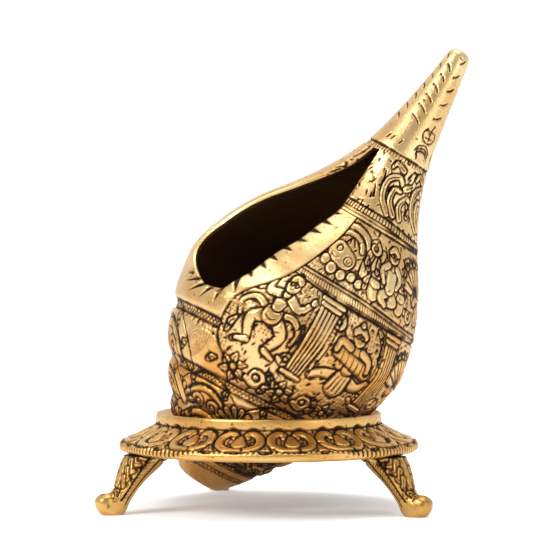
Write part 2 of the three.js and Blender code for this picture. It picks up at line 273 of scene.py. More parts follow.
class Carving:
    """Relief on a turned surface, kept as heights and tarnish by row along it and by angle round it."""

    def __init__(self, radius, arc, columns, first_angle):
        self.radius = np.maximum(radius, 2.0)
        self.arc = arc
        self.columns = columns
        self.first = first_angle
        self.step = TAU / columns
        self.angle = first_angle + self.step * np.arange(columns)
        self.height = np.zeros((len(arc), columns))
        self.tarnish = np.zeros((len(arc), columns))
        self.taken = np.zeros((len(arc), columns), bool)
        # A hand presses harder in some places than in others, so every cut's width follows this.
        self.hand = 1 + 0.35 * self.waves(5.0, 21) + 0.2 * self.waves(2.0, 22)

    def waves(self, spacing, seed):
        """A smooth random field from -1 to 1 whose bumps are about this far apart, in mm."""
        along = int(self.arc[-1] / spacing) + 3
        across = max(4, round(TAU * self.radius.max() / spacing))
        random = np.random.default_rng(seed).uniform(-1, 1, (along, across))
        v, u = self.arc / spacing, (self.angle - self.first) / TAU * across
        i, j = np.floor(v).astype(int), np.floor(u).astype(int) % across
        fv, fu = smooth(0, 1, v - np.floor(v))[:, None], smooth(0, 1, u - np.floor(u))[None, :]

        def corner(a, b):
            return random[np.ix_(i + a, (j + b) % across)]

        top = corner(0, 0) * (1 - fu) + corner(0, 1) * fu
        bottom = corner(1, 0) * (1 - fu) + corner(1, 1) * fu
        return top * (1 - fv) + bottom * fv

    def sink(self, mask, depth, tarnish):
        """Lowers an area to a flat ground."""
        self.height = np.where(mask, np.minimum(self.height, -depth * mask), self.height)
        self.tarnish = np.maximum(self.tarnish, tarnish * mask)

    def cut(self, where, profile, depth, dirt=1.0):
        """Cuts a groove: profile is 1 at its bottom and 0 outside it."""
        self.height[where] = self.height[where] - depth * profile
        self.tarnish[where] = np.maximum(self.tarnish[where], dirt * profile**0.7)

    def stripe(self, arc_line, width, depth, allowed=1.0):
        """A groove that follows a line round the surface, given as arc position by column."""
        off = np.abs(self.arc[:, None] - arc_line[None, :])
        rows = np.nonzero((off < width).any(axis=1))[0]
        if len(rows) == 0:
            return
        rows = slice(rows[0], rows[-1] + 1)
        profile = np.clip(1 - (off[rows] / (width / 2 * self.hand[rows])) ** 2, 0, 1)
        if np.ndim(allowed):
            profile = profile * allowed[rows]
        self.cut((rows, slice(None)), profile, depth)

    def ticks(self, arc_low, arc_high, pitch, slant, width, depth, allowed=1.0):
        """A row of short grooves between two lines round the surface."""
        arc = self.arc[:, None]
        inside = smooth(0, 0.4, arc - arc_low) * smooth(0, 0.4, arc_high - arc)
        rows = np.nonzero((inside > 0).any(axis=1))[0]
        if len(rows) == 0:
            return
        rows = slice(rows[0], rows[-1] + 1)
        middle_radius = np.interp(np.mean(arc_low + arc_high) / 2, self.arc, self.radius)
        count = max(3, round(TAU * middle_radius / pitch))
        phase = count * self.angle[None, :] / TAU + slant * (self.arc[rows, None] - arc_low) / pitch
        across = np.abs(phase - np.round(phase)) * pitch
        profile = np.clip(1 - (across / (width / 2 * self.hand[rows])) ** 2, 0, 1) * inside[rows]
        if np.ndim(allowed):
            profile = profile * allowed[rows]
        self.cut((rows, slice(None)), profile, depth)

    def stipple(self, allowed, spacing, dot, depth, seed):
        """Punched dots all over an area."""
        rows = np.nonzero((allowed > 0).any(axis=1))[0]
        if len(rows) == 0:
            return
        rows = slice(rows[0], rows[-1] + 1)
        random = np.random.default_rng(seed)
        middle = np.mean(self.radius[rows])
        across = max(4, round(TAU * middle / spacing))
        along = int((self.arc[rows][-1] - self.arc[rows][0]) / spacing) + 3
        shift = random.uniform(-0.3, 0.3, (along, across, 2))
        u = (self.angle - self.first)[None, :] / TAU * across
        v = ((self.arc[rows] - self.arc[rows][0]) / spacing)[:, None]
        nearest = np.full((v.shape[0], u.shape[1]), 9.0)
        for du in (-1, 0, 1):
            for dv in (-1, 0, 1):
                cu, cv = np.floor(u) + du, np.floor(v) + dv
                cell = shift[np.clip(cv, 0, along - 1).astype(int), (cu % across).astype(int)]
                gap = np.hypot(u - cu - 0.5 - cell[..., 0], v - cv - 0.5 - cell[..., 1])
                nearest = np.minimum(nearest, gap)
        profile = np.clip(1 - (nearest * spacing / dot) ** 2, 0, 1) * allowed[rows]
        self.height[rows] -= depth * profile
        self.tarnish[rows] = np.maximum(self.tarnish[rows], profile)

    def spread(self, field, reach):
        """Averages a field over a few neighbours each way."""
        for axis in (0, 1):
            pad = [(reach, reach) if k == axis else (0, 0) for k in (0, 1)]
            padded = np.pad(field, pad, mode="wrap" if axis else "edge")
            total = np.cumsum(padded, axis=axis)
            total = np.insert(total, 0, 0, axis=axis)
            high = np.take(total, np.arange(2 * reach + 1, total.shape[axis]), axis=axis)
            low = np.take(total, np.arange(0, total.shape[axis] - 2 * reach - 1), axis=axis)
            field = (high - low) / (2 * reach + 1)
        return field

    def finish(self, dirt_reach):
        """Rounds the cuts a little and lets tarnish gather wherever the surface lies low."""
        low = self.spread(self.spread(self.height, dirt_reach), dirt_reach) - self.height
        dirt = np.clip(low / 0.55, 0, 1)
        self.tarnish = np.clip(np.maximum(self.tarnish, 0.85 * dirt), 0, 1)
        self.height = self.spread(self.height, 1)
        self.tarnish = self.spread(self.tarnish, 1)

    def sample(self, field, row, angle):
        """The field's value at fractional rows and at angles, blended between the four nearest cells."""
        row = np.clip(row, 0, len(self.arc) - 1.001)
        column = ((angle - self.first) / self.step) % self.columns
        r0, c0 = np.floor(row).astype(int), np.floor(column).astype(int)
        fr, fc = row - r0, column - c0
        r1, c1 = r0 + 1, (c0 + 1) % self.columns
        c0 = c0 % self.columns
        top = field[r0, c0] * (1 - fc) + field[r0, c1] * fc
        bottom = field[r1, c0] * (1 - fc) + field[r1, c1] * fc
        return top * (1 - fr) + bottom * fr


class Spot:
    """A place on a carving with upright axes of its own, where figures are drawn in mm."""

    def __init__(self, carving, angle, arc, size=1.0, tilt=0.0, mirror=1):
        self.carving = carving
        self.angle = angle
        self.arc = arc
        self.size = size
        self.tilt = tilt
        self.mirror = mirror

    def patch(self, points, reach):
        """The cells near a line, and where each lies in the spot's own axes."""
        c = self.carving
        p = np.array(points, float) * [self.mirror * self.size, self.size]
        cos, sin = math.cos(self.tilt), math.sin(self.tilt)
        p = np.stack([cos * p[:, 0] - sin * p[:, 1], sin * p[:, 0] + cos * p[:, 1]], 1)
        low, high = p.min(0) - reach, p.max(0) + reach
        first, last = np.searchsorted(c.arc, [self.arc + low[1], self.arc + high[1]])
        if last - first < 2:
            return None
        radius = c.radius[first:last]
        edges = [x / r for x in (low[0], high[0]) for r in (radius.min(), radius.max())]
        left = math.floor((self.angle + min(edges) - c.first) / c.step)
        right = math.ceil((self.angle + max(edges) - c.first) / c.step)
        right = min(right, left + c.columns - 1)
        columns = np.arange(left, right + 1)
        x = radius[:, None] * (c.first + columns * c.step - self.angle)[None, :]
        y = (c.arc[first:last] - self.arc)[:, None] + 0 * x
        local_x = (cos * x + sin * y) * self.mirror / self.size
        local_y = (-sin * x + cos * y) / self.size
        return np.ix_(np.arange(first, last), columns % c.columns), local_x, local_y

    def form(self, points, thick, thin=None, level=0.0):
        """A raised form along a line, with a dark cut all round it."""
        line = flowing(points) if len(points) > 1 else np.array([points[0], points[0]], float)
        half = np.linspace(thick, thick if thin is None else thin, len(line))
        found = self.patch(line, max(half) * self.size + OUTLINE_WIDTH + 0.3)
        if found is None:
            return
        where, x, y = found
        c = self.carving
        d = line_distance(x, y, line, half) * self.size
        top = level - EDGE_DROP * np.exp(np.minimum(d, 0) / EDGE_SOFTNESS)
        width = OUTLINE_WIDTH * min(1, 0.4 + 0.6 * self.size) * c.hand[where]
        wall = np.clip(1 - (d / width) ** 2, 0, 1) * (d >= 0)
        ground = np.minimum(c.height[where], -OUTLINE_DEPTH * wall)
        c.height[where] = np.where(d < 0, top, ground)
        c.tarnish[where] = np.where(d < 0, 0.0, np.maximum(c.tarnish[where], wall**0.6))
        c.taken[where] |= d < 0.4

    def bead(self, x, y, radius, level=0.0):
        """A raised round form."""
        self.form([(x, y)], radius, level=level)

    def line(self, points, width=0.6, depth=0.6, dirt=1.0):
        """A cut line."""
        line = flowing(points)
        found = self.patch(line, width + 0.4)
        if found is None:
            return
        where, x, y = found
        d = np.maximum(line_distance(x, y, line, np.zeros(len(line))), 0) * self.size
        half = (width / 2 + 0.15) * self.carving.hand[where]
        self.carving.cut(where, np.clip(1 - (d / half) ** 2, 0, 1), depth, dirt)

    def ring(self, x, y, radius, start=0, end=360, width=0.6, depth=0.6):
        """A cut line along part of a circle, from one angle to another in degrees."""
        a = np.radians(np.linspace(start, end, max(5, round(abs(end - start) / 30) + 1)))
        self.line(around(x, y, radius, a), width, depth)


def scroll(spot, x, y, radius, start, turns=1.4, thick=0.9, side=1):
    """A rolled-up tendril."""
    a = radians(start) + side * np.linspace(0, turns * TAU, 9)
    spot.form(around(x, y, radius * np.linspace(1, 0.22, 9), a), thick, thick * 0.6)
    spot.bead(x, y, thick * 0.9)


def wedge(spot, tip_x, tip_y, half_width, depth=0.8):
    """One cut of a gouge, wide at the spot and running out to a point."""
    tip = np.array([tip_x, tip_y], float)
    found = spot.patch([(0, 0), tip], half_width + 0.6)
    if found is None:
        return
    where, x, y = found
    d = line_distance(x, y, np.array([(0, 0), tip]), [half_width, 0.08])
    spot.carving.cut(where, np.clip(0.45 - d / 0.35, 0, 1), depth)


def flecks(carving, allowed, spacing, seed):
    """Short gouge cuts scattered over whatever ground the figures leave free."""
    random = np.random.default_rng(seed)
    rows = np.nonzero((allowed > 0).any(axis=1))[0]
    for arc in np.arange(carving.arc[rows[0]], carving.arc[rows[-1]], spacing):
        radius = np.interp(arc, carving.arc, carving.radius)
        count = max(3, round(TAU * radius / spacing))
        for k in range(count):
            angle = carving.first + TAU * (k + random.uniform(0.1, 0.9)) / count
            place = arc + random.uniform(-0.4, 0.4) * spacing
            turn, length = random.uniform(0, TAU), random.uniform(1.2, 3.4)
            half = random.uniform(0.3, 0.62)
            row = min(int(np.searchsorted(carving.arc, place)), len(carving.arc) - 1)
            column = int((angle - carving.first) / carving.step) % carving.columns
            if allowed[row, column] < 0.5 or carving.taken[row, column]:
                continue
            spot = Spot(carving, angle, place)
            wedge(spot, length * math.cos(turn), length * math.sin(turn), half, 0.6)


def leaf(spot, x, y, length, direction, fat=1.3, bend=0.25):
    """A pointed leaf with a cut vein."""
    a = radians(direction)
    along, side = np.array([math.cos(a), math.sin(a)]), np.array([-math.sin(a), math.cos(a)])
    foot = np.array([x, y])
    waist = foot + length * (0.5 * along + bend * 0.5 * side)
    tip = foot + length * (along + bend * 0.2 * side)
    spot.form([foot, waist], fat * 0.7, fat)
    spot.form([waist, tip], fat, 0.25)
    spot.line([foot, waist, tip - 0.25 * length * along], 0.4, 0.35)


def flower(spot, x, y, radius, petals=8):
    """Round petals about a bead."""
    for k in range(petals):
        a = TAU * (k + 0.5) / petals
        spot.form([around(x, y, 0.45 * radius, a), around(x, y, radius, a)], 0.17 * radius, 0.24 * radius)
    spot.bead(x, y, 0.34 * radius)
    spot.ring(x, y, 0.17 * radius, width=0.4, depth=0.35)


def fan(spot, reach, blades=7, spread=150):
    """A palmette: blades that open from one foot."""
    for k in range(blades):
        a = radians(90 + spread * (k / (blades - 1) - 0.5))
        foot, tip = around(0, 0, 0.22 * reach, a), around(0, 0, 0.92 * reach, a)
        spot.form([foot, tip], 0.05 * reach, 0.115 * reach)
        spot.line([foot, 0.8 * tip], 0.35, 0.3)
    spot.bead(0, 0, 0.16 * reach)


def arch(spot, reach):
    """A broad round arch with a smaller one and two tendrils under it."""
    a = np.radians(np.linspace(4, 176, 11))
    spot.form(around(0, 0, 0.96 * reach, a), 0.15 * reach)
    spot.form(around(0, 0, 0.62 * reach, a), 0.08 * reach)
    for k in range(9):
        b = radians(18 + 18 * k)
        spot.line([around(0, 0, 0.79 * reach, b), around(0, 0, 0.71 * reach, b)], 0.5, 0.5)
    for side, start in ((-1, 200), (1, -20)):
        scroll(spot, side * 0.24 * reach, 0.16 * reach, 0.2 * reach, start, 1.1, 0.07 * reach, side)


def ovals(spot, reach, wide=0.55):
    """Thin shallow nested ovals, closer together at their feet."""
    a = np.linspace(0, TAU, 13)
    for part in (1.0, 0.82, 0.64, 0.46, 0.28):
        rise = part * np.sin(a) - 0.35 * (1 - part)
        spot.line(np.stack([part * reach * wide * np.cos(a), reach * rise], 1), 0.45, 0.3, 0.4)


def dancer(spot):
    """A dancing figure with a flying sash."""
    scroll(spot, -11.5, 9.5, 3.2, 60, 1.3, 0.8, -1)
    scroll(spot, 12.0, -11.5, 2.8, 200, 1.3, 0.8)
    leaf(spot, -13, -13, 6.5, 70, 1.2)
    leaf(spot, -9.5, -15, 5, 20, 1.0)
    leaf(spot, 13.5, -3, 5.5, 100, 1.1)
    spot.form([(2.5, 1.5), (8, 2.5), (12, -1.5), (11, -6)], 1.15, 0.6)
    spot.form([(-2.5, 1), (-8.5, 3.5), (-12.5, 0), (-11, -5)], 1.15, 0.6)
    spot.form([(-1.5, -0.5), (-6.5, -4.5), (-4.5, -12)], 2.5, 1.25)
    spot.form([(1.8, -0.5), (6.5, -5.5), (3.5, -12.5)], 2.5, 1.25)
    spot.form([(-4.5, -12.6), (-8.3, -14)], 1.2, 0.7)
    spot.form([(3.5, -13), (7.4, -14.4)], 1.2, 0.7)
    for k in range(4):
        spot.line([(-5 + k * 0.9, -4 - k * 1.9), (-3.4 + k * 0.5, -4.8 - k * 1.9)], 0.45, 0.4)
        spot.line([(5.6 - k * 0.4, -4 - k * 1.9), (4.0 - k * 0.3, -4.8 - k * 1.9)], 0.45, 0.4)
    spot.form([(0, 1), (0, 0)], 3.4)
    spot.form([(0, 8.4), (0, 4.2)], 3.1, 2.1)
    spot.line([(-2.4, 2.3), (0, 1.5), (2.4, 2.3)], 0.5, 0.5)
    spot.line([(-2.2, -0.6), (0, -1.6), (2.2, -0.6)], 0.5, 0.5)
    spot.form([(-2.6, 8.6), (-7.2, 8.2), (-8.6, 13.2)], 1.6, 1.0)
    spot.form([(2.6, 8.6), (7.8, 6.4), (10.8, 10.6)], 1.6, 1.0)
    spot.bead(-8.9, 14.4, 1.3)
    spot.bead(11.4, 11.8, 1.3)
    spot.form([(0, 10.4), (0, 9.6)], 1.5)
    spot.bead(0, 13.4, 3.0)
    spot.form([(-1.8, 15.6), (0, 17.2), (1.8, 15.6)], 1.2)
    for x in (-1.1, 1.1):
        spot.bead(x, 13.8, 0.42, -0.2)
    spot.line([(-0.9, 12.0), (0, 11.7), (0.9, 12.0)], 0.35, 0.35)
    spot.line([(-1.9, 7.9), (0, 6.7), (1.9, 7.9)], 0.4, 0.4)


def drummer(spot):
    """A seated figure with a long drum."""
    leaf(spot, -13.5, 6, 6.5, 80, 1.2)
    leaf(spot, -12, 13, 5, 40, 1.0)
    scroll(spot, 12.5, 11.5, 3.0, 120, 1.3, 0.8)
    scroll(spot, -12.5, -12, 2.8, -20, 1.3, 0.8, -1)
    spot.form([(-2, -7), (-9, -8), (-12.5, -4.5)], 2.4, 1.3)
    spot.form([(2, -7), (9.5, -9), (12.5, -12)], 2.4, 1.2)
    spot.form([(0, -11), (0, -8)], 4.6, 4.2)
    for k in range(5):
        spot.line([(-3.6 + 1.8 * k, -6.4), (-4.6 + 2.3 * k, -13.6)], 0.45, 0.4)
    spot.form([(0.5, 4.6), (0, -2.6)], 3.6, 2.8)
    spot.form([(-8.5, -1.2), (8.5, 1.8)], 2.7, 2.2)
    for x in (-5.6, -2.8, 0, 2.8, 5.6):
        spot.line([(x, -2.2 + 0.18 * x), (x + 0.6, 2.4 + 0.18 * x)], 0.45, 0.45)
    spot.form([(-3, 5.2), (-7.6, 3.4), (-8.8, -0.4)], 1.5, 1.0)
    spot.form([(3.6, 5.2), (8.4, 6), (9.4, 2.2)], 1.5, 1.0)
    spot.bead(0.6, 9.8, 3.1)
    spot.form([(-2.2, 11.4), (0.6, 13.6), (3.4, 11.4)], 1.3)
    spot.bead(0.6, 15, 1.1)
    for x in (-0.5, 1.7):
        spot.bead(x, 10.2, 0.42, -0.2)
    spot.line([(-0.3, 8.4), (0.6, 8.1), (1.5, 8.4)], 0.35, 0.35)


def bird(spot):
    """A peacock with a raised tail."""
    for k in range(7):
        a = radians(62 + 17 * k)
        tip = np.array([-2 + 14.5 * math.cos(a), -2 + 14 * math.sin(a)])
        spot.form([(-2, -2), tip], 0.6, 1.9)
        spot.bead(tip[0], tip[1], 0.75, -0.15)
    spot.form([(-5, -3.6), (1.5, -4), (5.5, -1)], 2.6, 2.2)
    spot.form([(5.5, -1), (9, 3.5), (8.4, 8.2)], 2.1, 1.1)
    spot.bead(8.8, 9.6, 1.8)
    spot.form([(10.2, 9.6), (12.8, 8.8)], 0.8, 0.25)
    spot.form([(8.6, 11.2), (7.8, 13.8)], 0.5, 0.7)
    spot.bead(9.2, 9.9, 0.4, -0.25)
    spot.form([(-4, -4), (0, -2.6), (4, -2.8)], 1.8, 0.6)
    for k in range(4):
        spot.line([(-4 + 1.7 * k, -2.4), (-3 + 1.7 * k, -4.6)], 0.45, 0.4)
    spot.form([(-1, -6.5), (-2.4, -12), (0.4, -13)], 0.75, 0.5)
    spot.form([(2.4, -6), (2.6, -12), (5.2, -13)], 0.75, 0.5)
    scroll(spot, -10.5, -11, 3.0, 20, 1.3, 0.8, -1)
    leaf(spot, 9.5, -13, 7, 100, 1.2)
    leaf(spot, 13, -9, 6, 100, 1.0)


def beast(spot):
    """A walking beast with a curled tail."""
    spot.form([(-8, -2), (-11.5, 3.5), (-8, 8), (-6, 5)], 1.0, 0.6)
    for x, foot in ((-7.5, -9.5), (-3.5, -6.5), (5.5, 3.5), (8.5, 9.5)):
        spot.form([(x, -4), (0.5 * (x + foot), -8), (foot, -12)], 1.9, 1.1)
        spot.form([(foot, -12.6), (foot + 1.6, -12.9)], 0.95, 0.7)
    spot.form([(-7, -1), (0, -2.5), (7, 0)], 4.0, 3.8)
    spot.form([(7, 1), (10, 6)], 3.2, 2.4)
    spot.bead(10.2, 8.6, 3.2)
    spot.form([(11, 7.4), (14, 6)], 1.7, 1.2)
    spot.form([(8, 11), (6.6, 14.4)], 0.9, 0.4)
    spot.form([(11.6, 11.2), (12.6, 14.4)], 0.9, 0.4)
    spot.bead(10.6, 9.4, 0.6, -0.25)
    for k in range(5):
        spot.ring(-4 + 2.5 * k, -1.6 + 0.2 * k, 1.5, 200, 340, 0.45, 0.45)
    flower(spot, -3, 10.5, 4.2)
    leaf(spot, -13.5, -12, 6.5, 70, 1.1)


def potter(spot):
    """A seated figure between two round pots."""
    for x in (-9.5, 9.5):
        spot.form([(x, -11.5), (x, -7.5)], 3.4, 3.2)
        spot.form([(x - 1.8, -3.4), (x + 1.8, -3.4)], 0.8)
        spot.line([(x - 3, -8.4), (x, -9.4), (x + 3, -8.4)], 0.5, 0.5)
        leaf(spot, x, -2, 6.5, 90, 1.2, 0.1)
    spot.form([(-1.5, -8), (-5, -11), (0, -12.6)], 2.2, 1.3)
    spot.form([(1.5, -8), (5, -11), (1, -13.4)], 2.2, 1.3)
    spot.form([(0, 4.2), (0, -5.4)], 3.3, 3.0)
    spot.form([(-3, 4.6), (-6.4, 1), (-4.4, -4)], 1.5, 1.0)
    spot.form([(3, 4.6), (6.4, 1), (4.4, -4)], 1.5, 1.0)
    spot.bead(0, 9.4, 3.1)
    spot.form([(-2.4, 11.4), (0, 13.4), (2.4, 11.4)], 1.2)
    for x in (-1.1, 1.1):
        spot.bead(x, 9.8, 0.42, -0.2)
    spot.line([(-0.9, 8), (0, 7.7), (0.9, 8)], 0.35, 0.35)
    spot.line([(-2.2, 3.6), (0, 2.2), (2.2, 3.6)], 0.4, 0.4)
    scroll(spot, -12, 8.5, 3.0, 60, 1.3, 0.8, -1)
    scroll(spot, 12, 8.5, 3.0, 120, 1.3, 0.8)


def mask(spot):
    """A round-headed beast under nested arches, with thick folds beside it."""
    a = np.radians(np.linspace(12, 168, 9))
    spot.form(np.stack([12.2 * np.cos(a) - 2, 11.6 * np.sin(a) + 1.5], 1), 1.4)
    spot.form(np.stack([8.4 * np.cos(a) - 2, 8.2 * np.sin(a) + 1], 1), 1.1)
    spot.form([(-5.4, -2.6), (0.6, -5)], 5.4, 4.8)
    spot.ring(-5.2, -0.8, 1.6, width=0.7, depth=0.7)
    spot.ring(1.8, -5.2, 2.3, 30, 400, 0.7, 0.7)
    spot.ring(1.8, -5.2, 0.9, 120, 400, 0.5, 0.5)
    spot.line([(-3.6, 3.4), (-1.2, 7.2), (1.6, 3.0)], 0.8, 0.7)
    spot.line([(-8, -5.2), (-5.4, -6.2), (-3.4, -5.2)], 0.7, 0.6)
    for x, y, radius in ((-9.6, -9.4, 2.5), (-4.6, -12, 2.7), (1.6, -12.8, 2.4), (7.2, -11.2, 2.2)):
        spot.bead(x, y, radius)
    spot.form([(11.8, -6.5), (11.0, 0.5), (12.6, 8.5)], 2.0, 2.5)
    spot.form([(16.4, -9), (16.2, 0), (17, 7)], 1.9, 2.3)
    spot.line([(11.8, -5), (11.6, 1), (12.6, 6)], 0.6, 0.6)
    spot.bead(12.4, -12.2, 2.2)


def spray(spot):
    """Broad leaves that curl over one another, with long cut veins and dark gouges between them."""
    curls = (
        ([(-4.5, -13.5), (-9.5, -6), (-8.6, 3.5), (-2.6, 7.4), (1.6, 3.4)], 1.7, 1.1),
        ([(-0.5, -13), (-4.4, -6.6), (-3.4, 0.2), (0.8, 0.6)], 1.7, 0.9),
        ([(4.5, -13.5), (2.2, -7.0), (5.8, -1.6), (9.6, -3.6)], 1.7, 0.9),
        ([(9.5, -11), (10.8, -6.2), (13, -5.6)], 1.2, 0.6),
        ([(3.6, 3.0), (7.6, 5.4), (8.2, 11.5)], 1.9, 0.7),
        ([(-1.2, 11.2), (-5.6, 13.6), (-7.8, 11)], 1.3, 0.7),
    )
    for points, thick, thin in curls:
        spot.form(points, thick, thin)
        spot.line(points[:-1], 0.45, 0.4)
    c, size = spot.carving, spot.size
    radius = float(np.interp(spot.arc, c.arc, c.radius))
    gouges = ((-12, -9, -2.4, 6), (-11.6, 1.5, -1.4, 5), (2.4, 9, 1.4, 4.4), (-6, -1.5, 1.2, 4))
    for x, y, dx, dy in gouges:
        wedge(Spot(c, spot.angle + x * size / radius, spot.arc + y * size), dx, dy, 0.7)


FIGURES = [dancer, drummer, bird, potter, beast, dancer, bird]
SMALL_FIGURES = [mask, potter, bird, beast, mask, dancer, beast, drummer]

# The canvas of the shell, and its main places, as distances along the axis in mm.
CELL = 0.25
SHELL_COLUMNS = 1500
UPPER_BAND_LOW = 134.2
CANAL_LINE = 167.4
LEAVES_MIDDLE = 153.2
LIP_BAND = 30.0
LIP_BAND_TAPER = 18
PILLAR_FIRST = radians(8.5)
PILLAR_STEP = radians(45)
PILLAR_COUNT = 7
SMALL_FIRST = radians(3)
SMALL_STEP = radians(37)
# Tall of each kind of drawing at size 1, in mm.
FIGURE_HEIGHT = 36
SMALL_FIGURE_HEIGHT = 33
STRIP_HEIGHT = 13
CANAL_SLIMMING = 0.3


class ShellCarving(Carving):
    """The canvas of the shell's outside, with the lines that part its rows of figures."""

    def __init__(self):
        z = np.arange(0, SHELL_LENGTH, CELL)
        super().__init__(meridian(z), running_length(z, meridian(z)), SHELL_COLUMNS, SPIRE_SEAM)
        self.along = z
        self.rows = z[:, None]
        self.facing = (self.angle + math.pi) % TAU - math.pi
        # Lower and upper edges of the bands, by column.
        self.upper_low = np.full(self.columns, UPPER_BAND_LOW)
        self.upper_high = 140.2 - 2.2 * smooth(radians(15), radians(75), self.angle)
        self.band_low = 101.2 - 1.9 * smooth(radians(-27), radians(10), self.angle)
        self.band_high = 105.5 - 2.6 * smooth(radians(15), radians(76), self.angle)
        self.panel_foot = 60.3 + 8.0 * smooth(0, radians(290), self.angle)
        # Plain areas: the callus below the mouth, and a band along the outer lip.
        self.edge_angle = np.arcsin(np.clip(callus_edge(z) / self.radius, -0.95, 0.95))[:, None]
        lip_rows = np.clip(z, MOUTH_START + 4, MOUTH_END - 0.5)
        band = LIP_BAND - LIP_BAND_TAPER * smooth(118, 160, lip_rows)
        self.border = (mouth_angles(lip_rows)[1] - band / meridian(lip_rows))[:, None]
        self.newest = suture_height(self.facing, 1)[None, :]
        self.left_of_edge = self.angle[None, :] < self.edge_angle
        beyond = self.angle[None, :] > self.border
        below_band = self.left_of_edge & (self.rows < UPPER_BAND_LOW)
        self.callus = below_band | (beyond & (self.rows < MOUTH_END))
        self.callus &= self.rows > self.newest + 1.5
        self.free = 1.0 - self.callus

    def arc_at(self, height):
        """Arc position of a place along the axis."""
        return np.interp(height, self.along, self.arc)

    def row_at(self, angle, foot, head):
        """Arc position of a row's foot at an angle, and the row's height there."""
        low = self.arc_at(np.interp(angle, self.angle, foot))
        return low, self.arc_at(np.interp(angle, self.angle, head)) - low


def sink_grounds(c):
    """Sinks and dots the grounds of the figures, leaves and whorls; returns the figured areas."""
    rows, first_suture = c.rows, suture_height(c.angle, 0)
    figures = (rows > c.panel_foot) & (rows < c.band_low)
    upper = (rows > c.band_high) & (rows < c.upper_low)
    leaves = (rows > c.upper_high) & (rows < CANAL_LINE)
    plain = c.left_of_edge & (rows > first_suture)
    strip = (rows > first_suture + 1.6) & (rows < c.panel_foot) & ~plain
    for area in (figures, upper, leaves, strip):
        c.sink(area * (c.free > 0.5), GROUND_DEPTH, 0.1)
    spire = (rows < first_suture - 2.2) & (rows > suture_height(c.angle, -4) + 1.5)
    c.sink(spire, GROUND_DEPTH * 0.8, 0.05)
    patches = smooth(0.05, 0.25, c.waves(13.0, 31))
    c.stipple((figures | upper | strip) * c.free * patches, 1.7, 0.5, 0.4, 5)
    return (figures | upper | leaves | strip) * c.free


def carve_whorls(c):
    """Arches and fans in turn, smaller towards the tip, and nested ovals on the newest whorl."""
    for whorl in (0, -1, -2):
        for k in range(7):
            for offset, draw, size in ((-30, arch, 0.86), (-56, fan, 0.5)):
                a = radians(offset + 52 * k)
                low, high = suture_height(a, whorl - 1), suture_height(a, whorl)
                room = c.arc_at(high) - c.arc_at(low)
                if low < 8 or a > radians(296):
                    continue
                draw(Spot(c, a, c.arc_at(low) + 0.1 * room), size * room)
                beside = Spot(c, a + radians(13), c.arc_at(low) + 0.72 * room, room / 19)
                leaf(beside, 0, 0, 4.2, 100, 1.2)
    for degrees, lean, size in ((-68, -0.15, 9.5), (-46, -0.4, 10.5)):
        a = radians(degrees)
        middle = c.arc_at(0.52 * (suture_height(a, 0) + suture_height(a, 1)))
        ovals(Spot(c, a, middle, 1.0, lean), size)
        leaf(Spot(c, a + radians(11), middle - 6.5, 1.0, lean), 0, 0, 4.5, 60, 1.2)


def carve_strip(c):
    """Flowers and tendrils in turn in the strip under the panels."""
    for k in range(22):
        a = radians(-20 + 14 * k)
        low, high = suture_height(a, 0) + 2.4, np.interp(a, c.angle, c.panel_foot) - 0.6
        room = c.arc_at(high) - c.arc_at(low)
        spot = Spot(c, a, c.arc_at((low + high) / 2), room / STRIP_HEIGHT)
        if k % 2:
            scroll(spot, -0.4, 0.6, 4.2, 210, 1.5, 1.15)
            leaf(spot, 3.6, -4.2, 5.4, 50, 1.3)
            leaf(spot, 3.8, 4.8, 3.8, -60, 1.1)
        else:
            for direction in (30, 90, 150, 210, 270, 330):
                leaf(spot, *around(0, 0, 1.2, radians(direction)), 4.6, direction, 1.5)
            spot.bead(0, 0, 1.3)


def carve_panels(c):
    """Figures in the panels with pillars between them, smaller figures above, and leaf sprays on top."""
    for k, figure in enumerate(FIGURES):
        a = PILLAR_FIRST + PILLAR_STEP * (k - 0.5)
        foot, room = c.row_at(a, c.panel_foot, c.band_low)
        figure(Spot(c, a, foot + 0.5 * room, room / FIGURE_HEIGHT, 0.0, 1 if k % 2 == 0 else -1))
    for k in range(PILLAR_COUNT):
        a = PILLAR_FIRST + PILLAR_STEP * k
        foot, room = c.row_at(a, c.panel_foot, c.band_low)
        pillar(Spot(c, a, foot + 0.5 * room, 1.0, radians(-3)), room)
    for k, figure in enumerate(SMALL_FIGURES):
        a = SMALL_FIRST + SMALL_STEP * k
        foot, room = c.row_at(a, c.band_high + 0.8, c.upper_low - 0.8)
        figure(Spot(c, a, foot + 0.5 * room, room / SMALL_FIGURE_HEIGHT, 0.0, -1 if k % 2 else 1))
        beside = Spot(c, a + SMALL_STEP / 2, foot + 0.5 * room, room / SMALL_FIGURE_HEIGHT)
        scroll(beside, 0, 9, 3.0, 90, 1.2, 0.95)
        leaf(beside, 0, -12, 7, 80, 1.5)
        leaf(beside, -1, -3, 6, 110, 1.3)
    for k in range(6):
        spray(Spot(c, radians(26 + 50 * k), c.arc_at(LEAVES_MIDDLE), 0.88, 0.1))


